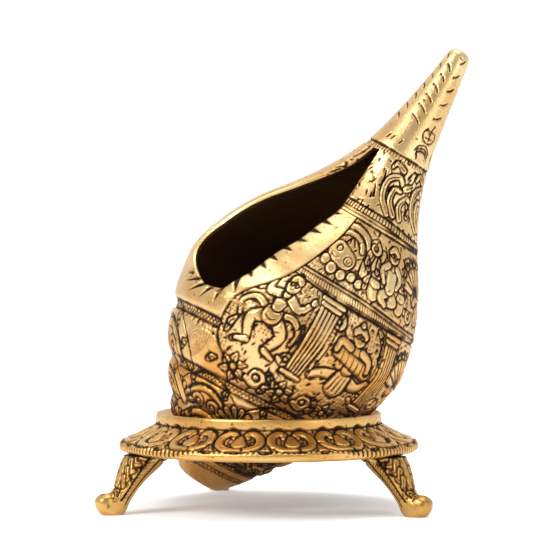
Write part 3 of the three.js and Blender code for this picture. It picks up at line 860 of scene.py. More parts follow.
def carve_bands(c):
    """Dark lines with ladder ticks between them, and the grooves that edge the plain areas."""
    for place, width, depth in (
        (c.upper_high, 1.5, 0.9), (c.upper_high - 2.9, 1.2, 0.8), (c.upper_low, 1.5, 0.9),
        (c.upper_low + 1.7, 1.0, 0.7), (c.band_high, 1.3, 0.8), (c.band_high - 1.5, 0.9, 0.6),
        (c.band_low + 1.2, 0.7, 0.5), (c.band_low, 1.5, 0.9),
    ):
        c.stripe(c.arc_at(place), width, depth, c.free)
    upper_foot, upper_head = c.arc_at(c.upper_high - 2.6), c.arc_at(c.upper_high - 0.5)
    c.ticks(upper_foot, upper_head, 1.9, 0, 0.8, 0.5, c.free)
    c.ticks(c.arc_at(c.band_low + 1.2), c.arc_at(c.band_high - 1.5), 1.5, 0.3, 0.5, 0.3, c.free)
    radius = c.radius[:, None]
    edge_width = 0.45 + 0.45 * smooth(66, 58, c.rows)
    edge = np.clip(1 - ((c.facing[None, :] - c.edge_angle) * radius / edge_width) ** 2, 0, 1)
    c.cut(slice(None), edge * (c.rows > 48) * (c.rows < UPPER_BAND_LOW), 0.8)
    border = np.clip(1 - ((c.angle[None, :] - c.border) * radius / 0.55) ** 2, 0, 1)
    c.cut(slice(None), border * (c.rows > c.newest + 1.5) * (c.rows < MOUTH_END), 0.8)


def carve_sutures(c):
    """A twisted cord between two lines along each suture, finer towards the tip."""
    for whorl in (1, 0, -1, -2, -3, -4):
        line = suture_height(c.facing if whorl == 1 else c.angle, whorl)
        size = max(0.5, WHORL_RATIO ** min(0, whorl))
        kept = c.left_of_edge * 1.0 if whorl == 1 else np.ones_like(c.free)
        if whorl == -1:
            # Worn away at the front, just above the ring.
            kept = kept * (1 - smooth(-1.9, -1.7, c.facing) * smooth(-0.15, -0.35, c.facing))
        c.stripe(c.arc_at(line + 1.8 * size), 1.35 * size, 0.9 * size, kept)
        c.stripe(c.arc_at(line - 1.7 * size), 1.2 * size, 0.9 * size, kept)
        for slant in (-0.9, 0.9):
            foot, head = c.arc_at(line - 1.4 * size), c.arc_at(line + 1.3 * size)
            c.ticks(foot, head, 2.1, slant, 0.6, 0.45, kept)


def carve_mouth(c):
    """Wedge cuts that point away from the mouth's edge."""
    for (foot_z, foot_angle), (tip_z, tip_angle), half_width in MOUTH_CUTS:
        reach = radians(tip_angle - foot_angle) * float(meridian((foot_z + tip_z) / 2))
        rise = c.arc_at(tip_z) - c.arc_at(foot_z)
        spot = Spot(c, radians(foot_angle), c.arc_at(foot_z))
        wedge(spot, *(MOUTH_CUT_SIZE * v for v in (reach, rise, half_width)), 1.0)


def shell_carving():
    """All the carving on the outside of the shell."""
    c = ShellCarving()
    ground = sink_grounds(c)
    carve_whorls(c)
    carve_strip(c)
    carve_panels(c)
    flecks(c, ground, 4.2, 41)
    c.height[c.callus] = 0
    c.tarnish[c.callus] = 0
    carve_bands(c)
    # Painted shade: the end of the spire, which lies in shade below the ring, is given a brown film.
    c.tarnish = np.maximum(c.tarnish, 0.3 * smooth(30, 24, c.rows))
    carve_sutures(c)
    carve_mouth(c)
    carve_canal(c)
    c.height -= CANAL_SLIMMING * smooth(SHELL_LENGTH - 16, SHELL_LENGTH - 5, c.rows)
    unevenness = 0.12 * c.waves(11.0, 51) + 0.05 * c.waves(3.5, 52)
    c.height += unevenness * smooth(5, 40, c.radius)[:, None]
    c.finish(9)
    return c


def pillar(spot, room):
    """A fluted pillar, narrower at its foot, with a stepped head and base and thin lines beside it."""
    half = 0.5 * room
    spot.form([(0, -half + 4), (0, half - 5)], 3.3, 4.9)
    for part in (-0.62, -0.2, 0.22, 0.64):
        spot.line([(3.2 * part, -half + 3.4), (4.9 * part, half - 5.5)], 0.6, 0.65)
    spot.form([(-4.6, half - 3.6), (4.6, half - 3.6)], 1.1)
    spot.form([(-5.6, half - 1.3), (5.6, half - 1.3)], 1.0)
    spot.form([(-4.0, -half + 2.4), (4.0, -half + 2.4)], 1.0)
    for side in (-1, 1):
        spot.line([(side * 6.2, -half + 4), (side * 7.4, half - 6), (side * 7.8, half - 3)], 0.45, 0.4)


# Rows of cuts on the canal: angle, first place along the axis, step, and reach across and up of each cut.
CANAL_ROWS = [
    (-62, 182.5, 5.6, 3.4, -2.2), (-14, 184.4, 5.4, 4.4, -2.6), (36, 189.6, 6.7, 3.6, 2.3),
    (88, 184.0, 5.6, 3.6, -2.2), (140, 186.5, 6.2, 3.6, 2.2), (192, 184.0, 5.6, 3.6, -2.2),
    (244, 186.5, 6.2, 3.6, 2.2),
]


def carve_canal(c):
    """Cuts on the canal: a line at its foot, rows of slanted cuts, and a mark with leaves below it."""
    full = np.ones(c.columns)
    c.stripe(c.arc_at(CANAL_LINE) * full, 1.2, 0.7)
    c.ticks(c.arc_at(CANAL_LINE - 2.2) * full, c.arc_at(CANAL_LINE - 0.5) * full, 1.5, 0, 0.5, 0.35)
    for angle, first, step, reach, rise in CANAL_ROWS:
        for height in np.arange(first, SHELL_LENGTH - 4, step):
            spot = Spot(c, radians(angle), float(c.arc_at(height)))
            half = 0.5 * reach * min(1, float(meridian(height)) / 9)
            spot.line([(-half, -0.5 * rise), (0.15 * half, -0.12 * rise), (half, 0.5 * rise)], 0.6, 0.65)
    mark = Spot(c, radians(36), float(c.arc_at(180.9)))
    mark.ring(0, 0, 3.4, 130, 400)
    strokes = ([(0.3, -2), (0, 2.2), (0.6, 5.2)], [(-2.2, 2.2), (1.8, 2.2)], [(-1.8, -1.2), (2.2, -1)])
    for points in strokes:
        mark.line(points, 0.5, 0.5)
    for angle in (38, 88, 138, 188, 238):
        spot = Spot(c, radians(angle), float(c.arc_at(172.0)))
        for lift in (0, 1.5, 2.9):
            spot.line([(-4.6 + 0.7 * lift, 0.6 - lift), (-3.2, 3.4 - lift), (0.2, 4.4 - lift),
                       (3.4, 2.0 - lift)], 0.6, 0.6)
    for angle in (-40, -30, -12):
        spot = Spot(c, radians(angle), float(c.arc_at(172.5)))
        spot.line([(-0.5, -1), (0.3, 1)], 0.45, 0.5)


def accumulate_normals(points, faces):
    """Smooth normals of a mesh of four-sided faces, joined wherever faces share points."""
    a, b, c, d = (points[faces[:, k]] for k in range(4))
    normal = np.cross(c - a, d - b)
    total = np.zeros_like(points)
    for axis in range(3):
        for k in range(4):
            total[:, axis] += np.bincount(faces[:, k], normal[:, axis], len(points))
    return total / np.maximum(np.linalg.norm(total, axis=1), 1e-12)[:, None]


def new_piece(name, points, faces, tarnish, normals=None):
    """A mesh piece in metres, keeping only the points that its faces use."""
    used, inverse = np.unique(faces, return_inverse=True)
    faces = inverse.reshape(faces.shape)
    three_sided = faces[:, 2] == faces[:, 3]
    mesh = bpy.data.meshes.new(name)
    mesh.vertices.add(len(used))
    mesh.vertices.foreach_set("co", (points[used] * MM).ravel())
    sizes = np.where(three_sided, 3, 4)
    keep = np.ones(faces.shape, bool)
    keep[three_sided, 3] = False
    corners = faces[keep]
    mesh.loops.add(len(corners))
    mesh.loops.foreach_set("vertex_index", corners)
    mesh.polygons.add(len(faces))
    mesh.polygons.foreach_set("loop_start", np.concatenate([[0], np.cumsum(sizes)[:-1]]))
    mesh.polygons.foreach_set("loop_total", sizes)
    mesh.update(calc_edges=True)
    mesh.validate()
    mesh.polygons.foreach_set("use_smooth", np.ones(len(mesh.polygons), bool))
    attribute = mesh.attributes.new("tarnish", "FLOAT", "POINT")
    attribute.data.foreach_set("value", tarnish[used].astype(np.float32))
    if normals is not None:
        mesh.normals_split_custom_set_from_vertices(normals[used].astype(np.float32))
    piece = bpy.data.objects.new(name, mesh)
    bpy.context.scene.collection.objects.link(piece)
    return piece


def grid_faces(index, flip=False):
    """Four-sided faces between the points of a grid."""
    a, b = index[:-1, :-1].ravel(), index[:-1, 1:].ravel()
    c, d = index[1:, 1:].ravel(), index[1:, :-1].ravel()
    return np.stack([d, c, b, a] if flip else [a, b, c, d], 1)


def stand_centre():
    """The ring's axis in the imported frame, in mm."""
    low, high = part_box("stand_ring")
    return (low[0] + high[0]) / 2 / MM, (low[1] + high[1]) / 2 / MM


def shell_to_frame(x, y, z):
    """From the shell's own axes, spire end at zero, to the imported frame."""
    cx, cy = stand_centre()
    cos, sin = math.cos(SHELL_LEAN), math.sin(SHELL_LEAN)
    across = cos * x + sin * z + SPIRE_END[0] + cx
    return np.stack([across, y + SPIRE_END[1] + cy, cos * z - sin * x + SPIRE_END[2]], -1)


def shell_rows(spacing, start=0.0, end=SHELL_LENGTH):
    """Rows an even distance apart along the surface, with one exactly at each end of the mouth."""
    z = np.linspace(start, end, 4000)
    arc = running_length(z, meridian(z))
    stops = [start] + [s for s in (MOUTH_START, MOUTH_END) if start < s < end] + [end]
    rows = []
    for low, high in zip(stops[:-1], stops[1:]):
        arcs = np.interp([low, high], z, arc)
        count = max(2, round((arcs[1] - arcs[0]) / spacing))
        rows.append(np.interp(np.linspace(arcs[0], arcs[1], count + 1)[:-1], arc, z))
    return np.concatenate(rows + [[end]])


def mouth_distance(z, angle):
    """Distance along the surface from the edge of the mouth."""
    facing = (angle + math.pi) % TAU - math.pi
    radius = meridian(z)
    rows = MOUTH_START + (MOUTH_END - MOUTH_START) * np.linspace(0, 1, 45) ** 1.4
    start, end, _ = mouth_angles(rows)
    fine = np.linspace(0, SHELL_LENGTH, 900)
    arc = running_length(fine, meridian(fine))
    y = np.interp(z, fine, arc)
    best = np.full(z.shape, 99.0)
    for side in (start, end - TAU):
        for i in range(len(rows) - 1):
            ax, bx = side[i], side[i + 1]
            ay, by = np.interp(rows[i : i + 2], fine, arc)
            px, py = (facing - ax) * radius, y - ay
            dx, dy = (bx - ax) * radius, by - ay
            t = np.clip((px * dx + py * dy) / (dx * dx + dy * dy), 0, 1)
            best = np.minimum(best, np.hypot(px - t * dx, py - t * dy))
    on_edge = (z >= MOUTH_START) & (z <= MOUTH_END)
    best[:, [0, -1]] = np.where(on_edge, 0.0, best)[:, [0, -1]]
    return best


def edge_inset(z):
    """Share of the wall by which the outside turns in at the mouth's edge, less at the narrow end."""
    return 0.5 * np.clip((MOUTH_END - z) / 14, 0.15, 1)


def rolled(distance, reach):
    """0 away from an edge and 1 at it, along a quarter circle."""
    t = np.clip(distance / reach, 0, 1)
    return 1 - np.sqrt(np.maximum(0, 1 - (1 - t) ** 2))


def shell_grid(rows, columns):
    """The grid of a shell surface; where the mouth is closed its two sides share their points."""
    start, end, is_open = mouth_angles(rows)
    turn = np.linspace(0, 1, columns + 1)[None, :]
    angle = column_angle(start[:, None], end[:, None], turn)
    z = rows[:, None] + 0 * angle
    index = np.arange(z.size).reshape(z.shape)
    index[~is_open, -1] = index[~is_open, 0]
    return z, angle, turn + 0 * angle, index


def end_fan(ring, pole):
    """Triangles from a ring of points to one point past its end."""
    poles = np.full(len(ring) - 1, pole)
    return np.stack([ring[:-1], ring[1:], poles, poles], 1)


# Pieces of the outside: lowest and highest place along the axis, and how many columns one face spans.
SHELL_PIECES = [
    ("shell_spire", 0, 50, 1), ("shell_belly", 50, 92, 1), ("shell_shoulder", 92, 138, 1),
    ("shell_siphon", 138, 999, 2),
]
INSIDE_SPACING = 1.1
INSIDE_COLUMNS = 200


def make_shell_outside(carving, spacing, columns):
    """The carved outside, in pieces that meet along shared rows, with the normals of the whole."""
    rows = shell_rows(spacing)
    z, angle, turn, index = shell_grid(rows, columns)
    near = mouth_distance(z, angle)
    height = carving.sample(carving.height, z / CELL, angle) * smooth(0, 1.6, near)
    tarnish = carving.sample(carving.tarnish, z / CELL, angle)
    radius = plain_radius(z, angle, turn) + suture_relief(z, angle) * smooth(0, 7, near) + height
    radius = radius - radial_wall(z) * rolled(near, LIP_ROUNDING) * edge_inset(z)
    radius = radius * (1 - 0.3 * rolled(z, 2.0)) * (1 - 0.22 * rolled(SHELL_LENGTH - z, 1.2))
    grid = shell_to_frame(radius * np.sin(angle), -radius * np.cos(angle), z)
    # From here up every second column is enough, so the points between them lie on straight lines.
    thin = int(np.searchsorted(rows, SHELL_PIECES[-1][1]))
    grid[thin, 1::2] = (grid[thin, 0:-1:2] + grid[thin, 2::2]) / 2
    points = grid.reshape(-1, 3)
    low, high = len(points), len(points) + 1
    points = np.vstack([points, shell_to_frame(np.zeros(2), np.zeros(2), np.array([0, SHELL_LENGTH]))])
    faces = [grid_faces(index), end_fan(index[0, ::-1], low), end_fan(index[-1], high)]
    normals = accumulate_normals(points, np.vstack(faces))
    tarnish = np.append(tarnish.ravel(), [0.1, 0.1])
    pieces = []
    for name, low_z, high_z, step in SHELL_PIECES:
        first, last = np.searchsorted(rows, [low_z, min(high_z, SHELL_LENGTH)])
        part = index[first : last + 1, ::step]
        quads = [grid_faces(part)]
        if first == 0:
            quads.append(end_fan(part[0, ::-1], low))
        if last == len(rows) - 1:
            quads.append(end_fan(part[-1], high))
        pieces.append(new_piece(name, points, np.vstack(quads), tarnish, normals))
    return pieces


def make_shell_inside():
    """The hollow, which meets the outside along the mouth's edge."""
    rows = shell_rows(INSIDE_SPACING, CAVITY_START, CAVITY_END)
    z, angle, turn, index = shell_grid(rows, INSIDE_COLUMNS)
    near = mouth_distance(z, angle)
    wall = radial_wall(z) * (1 - (1 - edge_inset(z)) * rolled(near, LIP_ROUNDING))
    radius = plain_radius(z, angle, turn) - wall
    ends = rolled(z - CAVITY_START, 6.0) + rolled(CAVITY_END - z, 4.0)
    radius = np.maximum(radius * (1 - 0.5 * ends), 0.3)
    points = shell_to_frame(radius * np.sin(angle), -radius * np.cos(angle), z).reshape(-1, 3)
    poles = shell_to_frame(np.zeros(2), np.zeros(2), np.array([CAVITY_START - 0.8, CAVITY_END]))
    low, high = len(points), len(points) + 1
    points = np.vstack([points, poles])
    faces = [grid_faces(index, True), end_fan(index[0], low), end_fan(index[-1, ::-1], high)]
    tarnish = np.append(smooth(1.6, 4.5, near).ravel(), [1, 1])
    return new_piece("shell_inside", points, np.vstack(faces), tarnish)


# The ring's section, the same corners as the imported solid: radius and height in mm.
SEAT_RADIUS = 43.4
COLLAR_RADIUS = 49.4
RIM_RADIUS = 65.6
COLLAR_TOP = 41.8
RIM_BOTTOM = 25.0
RING_TOPSIDE = [
    (SEAT_RADIUS, 36), (47.7, 41.2), (48.5, COLLAR_TOP), (COLLAR_RADIUS - 0.2, 41.3),
    (COLLAR_RADIUS, 40.4), (COLLAR_RADIUS + 0.1, 37.4), (50.6, 36.2), (53.8, 34.4), (58.6, 32),
    (62.8, 30.3), (64.8, 29.4), (RIM_RADIUS, 27.8), (RIM_RADIUS - 0.1, 26),
]
RING_UNDERSIDE = [
    (64.3, RIM_BOTTOM), (62, RIM_BOTTOM), (60.6, 26.8), (52, 31.4), (45, 34.2),
    (SEAT_RADIUS + 0.3, 34.7),
]
RING_CORNERS = [
    "seat", "bevel", "top", "collar_high", "collar", "collar_low", "flange", "slope", "apron",
    "apron_low", "rim_high", "rim", "rim_low", "base", "base_in",
]
RING_COLUMNS = 1008
RIDGES = 168
PALMETTES = 16
PALMETTE_SHIFT = 0.45
HORSESHOE_HEIGHT = 14.4
RIDGE_DEPTH = 0.7
OUTER_SPACING = 0.45


def horseshoe(spot):
    """Two broad curled bands that rise from a point, a bud between them and a tuft on each side."""
    for side in (-1, 1):
        curl = ((0, -6.0), (4.2, -5.4), (7.8, -1.6), (7.4, 3.6), (4.4, 6.4), (2.2, 5.4), (2.6, 3.4))
        spot.form([(side * x, y) for x, y in curl], 1.9, 1.1)
        for x, low, high in ((4.3, -2.6, 1.4), (9.9, 1.8, 5.0)):
            spot.line([(side * x, low), (side * x, high)], 0.5, 0.45)
        spot.form([(side * 11.2, -6.2), (side * 11.2, -2.4)], 1.9, 0.4)
        spot.line([(side * 11.2, -6), (side * 11.2, -3.4)], 0.35, 0.3)
    spot.form([(0, -0.8), (0, 3.4)], 2.9, 1.3)


def ring_section():
    """The ring's outline with its corners a little rounded, and where each corner lies along it."""
    outline = np.array(RING_TOPSIDE + RING_UNDERSIDE + RING_TOPSIDE[:1], float)
    lengths = running_length(*outline.T)
    along = np.arange(0, lengths[-1], CELL)
    section = np.stack([np.interp(along, lengths, outline[:, k]) for k in (0, 1)], 1)
    for _ in range(2):
        section = (np.roll(section, 1, 0) + section + np.roll(section, -1, 0)) / 3
    return along, section, dict(zip(RING_CORNERS, lengths)), lengths[-1]


def ring_carving(along, section, corner):
    """Curled bands all round the flange, and ridges on the rim."""
    c = Carving(section[:, 0], along, 3 * RING_COLUMNS, 0.0)
    full = np.ones(c.columns)
    flange_low, flange_high = corner["collar_low"] + 0.9, corner["rim_high"] - 0.8
    area = ((along > flange_low) & (along < flange_high))[:, None] * np.ones((1, c.columns))
    c.sink(area, 0.45, 0.18)
    c.stipple(area, 1.5, 0.45, 0.3, 9)
    middle = 0.5 * (flange_low + flange_high)
    for k in range(PALMETTES):
        # The outline runs down the flange, so a figure drawn upright points up it.
        size = (flange_high - flange_low) / HORSESHOE_HEIGHT
        horseshoe(Spot(c, TAU * (k + PALMETTE_SHIFT) / PALMETTES, middle, size, math.pi))
    flecks(c, area, 3.2, 12)
    c.stripe((corner["collar_low"] + 0.3) * full, 1.0, 0.5)
    c.stripe(flange_high * full, 0.9, 0.6)
    # The ridges run down the whole rim at the sides and back, and only nick its top at the front.
    facing = np.abs((c.angle + math.pi) % TAU - math.pi)
    reed_low = corner["rim_high"] - 0.5
    reach = 1.6 + 3.2 * smooth(radians(26), radians(42), facing)
    phase = RIDGES * c.angle / TAU
    ridge = np.abs(phase - np.round(phase)) * 2
    rows = smooth(0, 0.3, along[:, None] - reed_low) * smooth(0, 0.5, reed_low + reach - along[:, None])
    profile = np.clip((ridge - 0.42) / 0.5, 0, 1)[None, :] * rows
    c.height -= RIDGE_DEPTH * profile
    c.tarnish = np.maximum(c.tarnish, 0.95 * profile)
    c.height += 0.1 * c.waves(9.0, 51)
    c.finish(7)
    return c


def make_ring():
    """The ring: its carved section turned about the stand's axis, with wider faces where it is hidden."""
    along, section, corner, whole = ring_section()
    c = ring_carving(along, section, corner)
    last_seen = corner["base"] + 0.3
    stations = np.concatenate([np.arange(corner["bevel"], last_seen, OUTER_SPACING),
                               np.arange(last_seen, whole, 1.6), np.arange(0, corner["bevel"], 1.2)])
    radius = np.interp(stations, along, section[:, 0])
    level = np.interp(stations, along, section[:, 1])
    tangent = np.roll(section, -2, 0) - np.roll(section, 2, 0)
    tangent /= np.maximum(np.linalg.norm(tangent, axis=1), 1e-9)[:, None]
    normal = np.stack([-tangent[:, 1], tangent[:, 0]], 1)
    nr, nz = (np.interp(stations, along, normal[:, k]) for k in (0, 1))
    angle = TAU * np.arange(RING_COLUMNS)[None, :] / RING_COLUMNS
    row = np.clip(stations / CELL, 0, len(along) - 2)[:, None] + 0 * angle
    turned = angle + 0 * row
    height = c.sample(c.height, row, turned)
    tarnish = c.sample(c.tarnish, row, turned)
    r = radius[:, None] + height * nr[:, None]
    z = level[:, None] + height * nz[:, None]
    cx, cy = stand_centre()
    points = np.stack([cx + r * np.sin(angle), cy - r * np.cos(angle), z], -1).reshape(-1, 3)
    index = np.arange(r.size).reshape(r.shape)
    index = np.vstack([index, index[:1]])
    index = np.hstack([index, index[:, :1]])
    under = np.clip((stations > corner["base_in"]) * 0.7, 0, 1)[:, None]
    tarnish = np.maximum(tarnish, under)
    return new_piece("stand_ring_cast", points, grid_faces(index), tarnish.ravel())


# Legs: stations down a leg, distance from the stand's axis, height, half thickness, half width, in mm.
LEG_BEARINGS = {"leg_left": -64, "leg_right": 57, "leg_back": 198.5}
LEG_STATIONS = [
    (55.5, 29.5, 9.2, 9.8), (59.4, 24.2, 7.4, 9.6), (63.6, 19, 6.0, 9.2), (66.4, 14.6, 5.0, 7.9),
    (68.4, 10.8, 4.4, 6.3), (70.6, 7.2, 4.4, 5.2), (73.2, 4.3, 5.7, 5.0), (76, 4.3, 5.1, 4.9),
    (78.2, 6.6, 3.9, 4.3), (79.5, 8.8, 2.0, 2.5),
]
LEG_ROWS = 116
LEG_COLUMNS = 116
LEG_GAP = 0.3
LEG_CELL = 0.2
LEG_MEAN_RADIUS = 6.5


def leg_carving(path_length):
    """Long curved leaves on the knee, scrolls below them, and a hatched strip beside each inner edge."""
    along = np.arange(0, path_length, LEG_CELL)
    c = Carving(np.full(len(along), LEG_MEAN_RADIUS), along, 330, -math.pi)
    front = Spot(c, 0.0, 14.0, 1.0, math.pi)
    front.form([(0, 8.5), (0, -9)], 1.5, 0.8)
    for side in (-1, 1):
        for k in range(5):
            high = 8.5 - 3.4 * k
            tip = side * (8.6 - 0.7 * k)
            front.form([(side * 2.6, high), (side * 5.2, high - 3.6), (tip, high - 3.0)], 1.2, 0.7)
            front.line([(side * 2.8, high), (side * 5.2, high - 3.4), (tip, high - 2.9)], 0.35, 0.3)
        front.form([(side * 3.2, 10.2), (side * 8.4, 8.6)], 1.0, 0.7)
        scroll(Spot(c, side * 0.5, 27.0, 0.85), 0, 0, 2.9, 90, 1.4, 0.9, side)
        leaf(Spot(c, side * 0.3, 31.5, 0.8, math.pi), 0, 0, 5.0, 90 - side * 15, 1.1)
    full, place, off_middle = np.ones(c.columns), along[:, None], np.abs(c.angle)[None, :]
    strip = (place > 7) & (place < 27) & (np.abs(off_middle - 1.72) < 0.2)
    c.ticks(7.0 * full, 27.0 * full, 1.3, 0.8, 0.6, 0.35, strip * 1.0)
    flecks(c, (place > 6) & (place < 30) & (off_middle < 1.5), 2.4, 6)
    c.stripe(4.2 * full, 1.3, 0.7)
    c.tarnish *= 0.8
    for edge in (1.48, 1.95):
        gap = (off_middle - edge) * LEG_MEAN_RADIUS
        c.cut(slice(None), np.clip(1 - (gap / 0.5) ** 2, 0, 1) * ((place > 5) & (place < 29)), 0.5)
    c.finish(6)
    return c


def squarish(v):
    """Makes a round section a little squarer."""
    return np.sign(v) * np.abs(v) ** 0.8


def make_leg(name, bearing, carving, path, lengths):
    """One leg, which ends a small gap below the flange and flat on the table."""
    t = np.linspace(0, lengths[-1], LEG_ROWS)
    x, z, thick, wide = (np.interp(t, lengths, path[:, k]) for k in range(4))
    dx, dz = np.gradient(x), np.gradient(z)
    norm = np.hypot(dx, dz)
    ax, az = (dx / norm)[:, None], (dz / norm)[:, None]
    a = TAU * np.arange(LEG_COLUMNS)[None, :] / LEG_COLUMNS - math.pi
    place = (t / LEG_CELL)[:, None] + 0 * a, a + 0 * t[:, None]
    height = carving.sample(carving.height, *place)
    tarnish = carving.sample(carving.tarnish, *place)
    end = np.sqrt(np.clip((lengths[-1] - t) / 1.2, 0.0, 1))[:, None]
    across = (thick[:, None] + height) * squarish(np.cos(a)) * end
    side = (wide[:, None] + height) * squarish(np.sin(a)) * end
    px = x[:, None] - az * across
    pz = np.maximum(0.0, z[:, None] + ax * across)
    roof = np.interp(px, *np.array(RING_UNDERSIDE[::-1]).T) - LEG_GAP
    tarnish = np.maximum(tarnish, 0.9 * (pz > roof))
    pz = np.minimum(pz, roof)
    turn = radians(bearing)
    cx, cy = stand_centre()
    points = np.stack([cx + px * math.sin(turn) + side * math.cos(turn),
                       cy - px * math.cos(turn) + side * math.sin(turn), pz], -1).reshape(-1, 3)
    index = np.arange(px.size).reshape(px.shape)
    index = np.hstack([index, index[:, :1]])
    middle = [points[index[0, :-1]].mean(0), points[index[-1, :-1]].mean(0)]
    low, high = len(points), len(points) + 1
    points = np.vstack([points, middle])
    faces = [grid_faces(index), end_fan(index[0, ::-1], low), end_fan(index[-1], high)]
    return new_piece(name + "_cast", points, np.vstack(faces), np.append(tarnish.ravel(), [1, 0]))


def linear(hex_colour):
    """The linear red, green and blue of an sRGB colour written as a hex number."""
    parts = [(hex_colour >> shift & 255) / 255 for shift in (16, 8, 0)]
    return tuple(p / 12.92 if p <= 0.04045 else ((p + 0.055) / 1.055) ** 2.4 for p in parts) + (1.0,)


def add_node(tree, kind, values=(), links=(), **settings):
    """Adds a node: settings are its own, values its sockets' numbers, links the sockets that feed it."""
    made = tree.nodes.new(kind)
    for key, value in settings.items():
        setattr(made, key, value)
    for socket, value in dict(values).items():
        made.inputs[socket].default_value = value
    for socket, source in dict(links).items():
        tree.links.new(source, made.inputs[socket])
    return made


# Colours of the brass: the rubbed high places, warmer clouds, which on the shell also paint the shade of
# its lower parts, the thin film and the patina in the cuts.
SHELL_BRIGHT, SHELL_WARM = 0xEBD09A, 0xC28A40
STAND_BRIGHT, STAND_WARM = 0xDAB06A, 0xB47F3A
LEG_BRIGHT, LEG_WARM = 0xC9A05C, 0xA07034
BROWN_FILM = 0x8A5A24
PATINA = 0x22160C
INSIDE_PATINA = 0x6E4C2A
# Sizes of the patterns in mm: clouds in the alloy, grain of the casting sand, and pits.
CLOUD_SIZE = 25.0
GRAIN_SIZE = 1.111
PIT_SIZE = 2.381


def cast_brass(name, bright, warm, shade, painted_low_shade=0.0):
    """Sand-cast brass, carved, darkened with patina and rubbed back so that the high places shine; its
    last argument paints shade on the parts near the table.
    """
    material = bpy.data.materials.new(name)
    material.use_nodes = True
    tree = material.node_tree
    tree.nodes.clear()
    place = add_node(tree, "ShaderNodeTexCoord").outputs["Object"]
    # Besides patina, the tarnish attribute holds painted shade: the brown film on the end of the shell's
    # spire.
    tarnish = add_node(tree, "ShaderNodeAttribute", attribute_name="tarnish").outputs["Fac"]
    clouds, grain, pits = (
        add_node(tree, "ShaderNodeTexNoise", {"Scale": 1 / (size * MM), "Detail": detail},
                 {"Vector": place}).outputs["Fac"]
        for size, detail in ((CLOUD_SIZE, 4.0), (GRAIN_SIZE, 3.0), (PIT_SIZE, 2.0)))
    cloud_part = add_node(tree, "ShaderNodeMapRange", {"From Min": 0.35, "From Max": 0.7, "To Max": 0.7},
                          {"Value": clouds}).outputs["Result"]
    # Painted shade: from 100 to 40 mm above the table the brass grows warmer and darker, standing in for
    # the shade on the lower parts.
    height = add_node(tree, "ShaderNodeSeparateXYZ", {}, {"Vector": place}).outputs["Z"]
    painted_low_shade_part = add_node(tree, "ShaderNodeMapRange",
                        {"From Min": 100 * MM, "From Max": 40 * MM, "To Max": painted_low_shade},
                        {"Value": height}).outputs["Result"]
    clouds_and_painted_low_shade = add_node(tree, "ShaderNodeMath", {}, {0: cloud_part, 1: painted_low_shade_part}, operation="ADD",
                      use_clamp=True).outputs[0]
    metal = add_node(tree, "ShaderNodeMix", {6: linear(bright), 7: linear(warm)}, {0: clouds_and_painted_low_shade},
                     data_type="RGBA").outputs[2]
    # The tarnish drawn in the cuts, with pits of its own, and an uneven edge from the grain.
    pit_part = add_node(tree, "ShaderNodeMapRange", {"From Min": 0.6, "From Max": 0.74, "To Max": 0.5},
                        {"Value": pits}).outputs["Result"]
    dirt = add_node(tree, "ShaderNodeMath", {}, {0: tarnish, 1: pit_part}, operation="MAXIMUM").outputs[0]
    broken = add_node(tree, "ShaderNodeMath", {1: 0.5}, {0: grain}, operation="SUBTRACT").outputs[0]
    uneven = add_node(tree, "ShaderNodeMath", {1: 0.45}, {0: broken, 2: dirt},
                      operation="MULTIPLY_ADD").outputs[0]
    dark = add_node(tree, "ShaderNodeMapRange", {"From Min": 0.1, "From Max": 0.78},
                    {"Value": uneven}).outputs["Result"]
    # The patina goes from a thin brown film beside a cut to nearly black at its bottom.
    film_part = add_node(tree, "ShaderNodeMapRange", {"From Max": 0.55, "To Max": 0.8},
                         {"Value": dark}).outputs["Result"]
    filmed = add_node(tree, "ShaderNodeMix", {7: linear(BROWN_FILM)}, {0: film_part, 6: metal},
                      data_type="RGBA").outputs[2]
    crust_part = add_node(tree, "ShaderNodeMapRange", {"From Min": 0.38},
                          {"Value": dark}).outputs["Result"]
    colour = add_node(tree, "ShaderNodeMix", {7: linear(shade)}, {0: crust_part, 6: filmed},
                      data_type="RGBA").outputs[2]
    # Rubbed brass is half polished; the crust is duller and less of a metal.
    rough = add_node(tree, "ShaderNodeMapRange", {"To Min": 0.34, "To Max": 0.62},
                     {"Value": dark}).outputs["Result"]
    metallic = add_node(tree, "ShaderNodeMapRange", {"To Min": 1.0, "To Max": 0.8},
                        {"Value": dark}).outputs["Result"]
    bump = add_node(tree, "ShaderNodeBump", {"Strength": 0.5, "Distance": 0.25 * MM},
                    {"Height": grain}).outputs["Normal"]
    shader = add_node(tree, "ShaderNodeBsdfPrincipled", {}, {
        "Base Color": colour, "Roughness": rough, "Metallic": metallic, "Normal": bump})
    add_node(tree, "ShaderNodeOutputMaterial", {}, {"Surface": shader.outputs[0]})
    return material


def chosen(colour):
    """A colour property as one sRGB hex number."""
    red, green, blue = (round(255 * part) for part in colour)
    return red << 16 | green << 8 | blue


def as_colour(hex_colour):
    """An sRGB hex number as a colour property's three parts."""
    return tuple((hex_colour >> shift & 255) / 255 for shift in (16, 8, 0))


def dress(piece, node, material):
    """Gives a piece its material, hangs it from the root body, and hides the imported part of the node it
    stands for.
    """
    piece.data.materials.append(material)
    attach(piece, "root")
    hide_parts(node)


class ChankSizes(bpy.types.PropertyGroup):
    """Sizes of the carved surface."""

    face_spacing: bpy.props.FloatProperty(
        name="Face spacing", description="Distance between rows of faces along the shell, in mm",
        default=0.5, min=0.3, max=3)
    face_columns: bpy.props.IntProperty(
        name="Face columns", description="Faces round the shell", default=720, min=60, max=900)


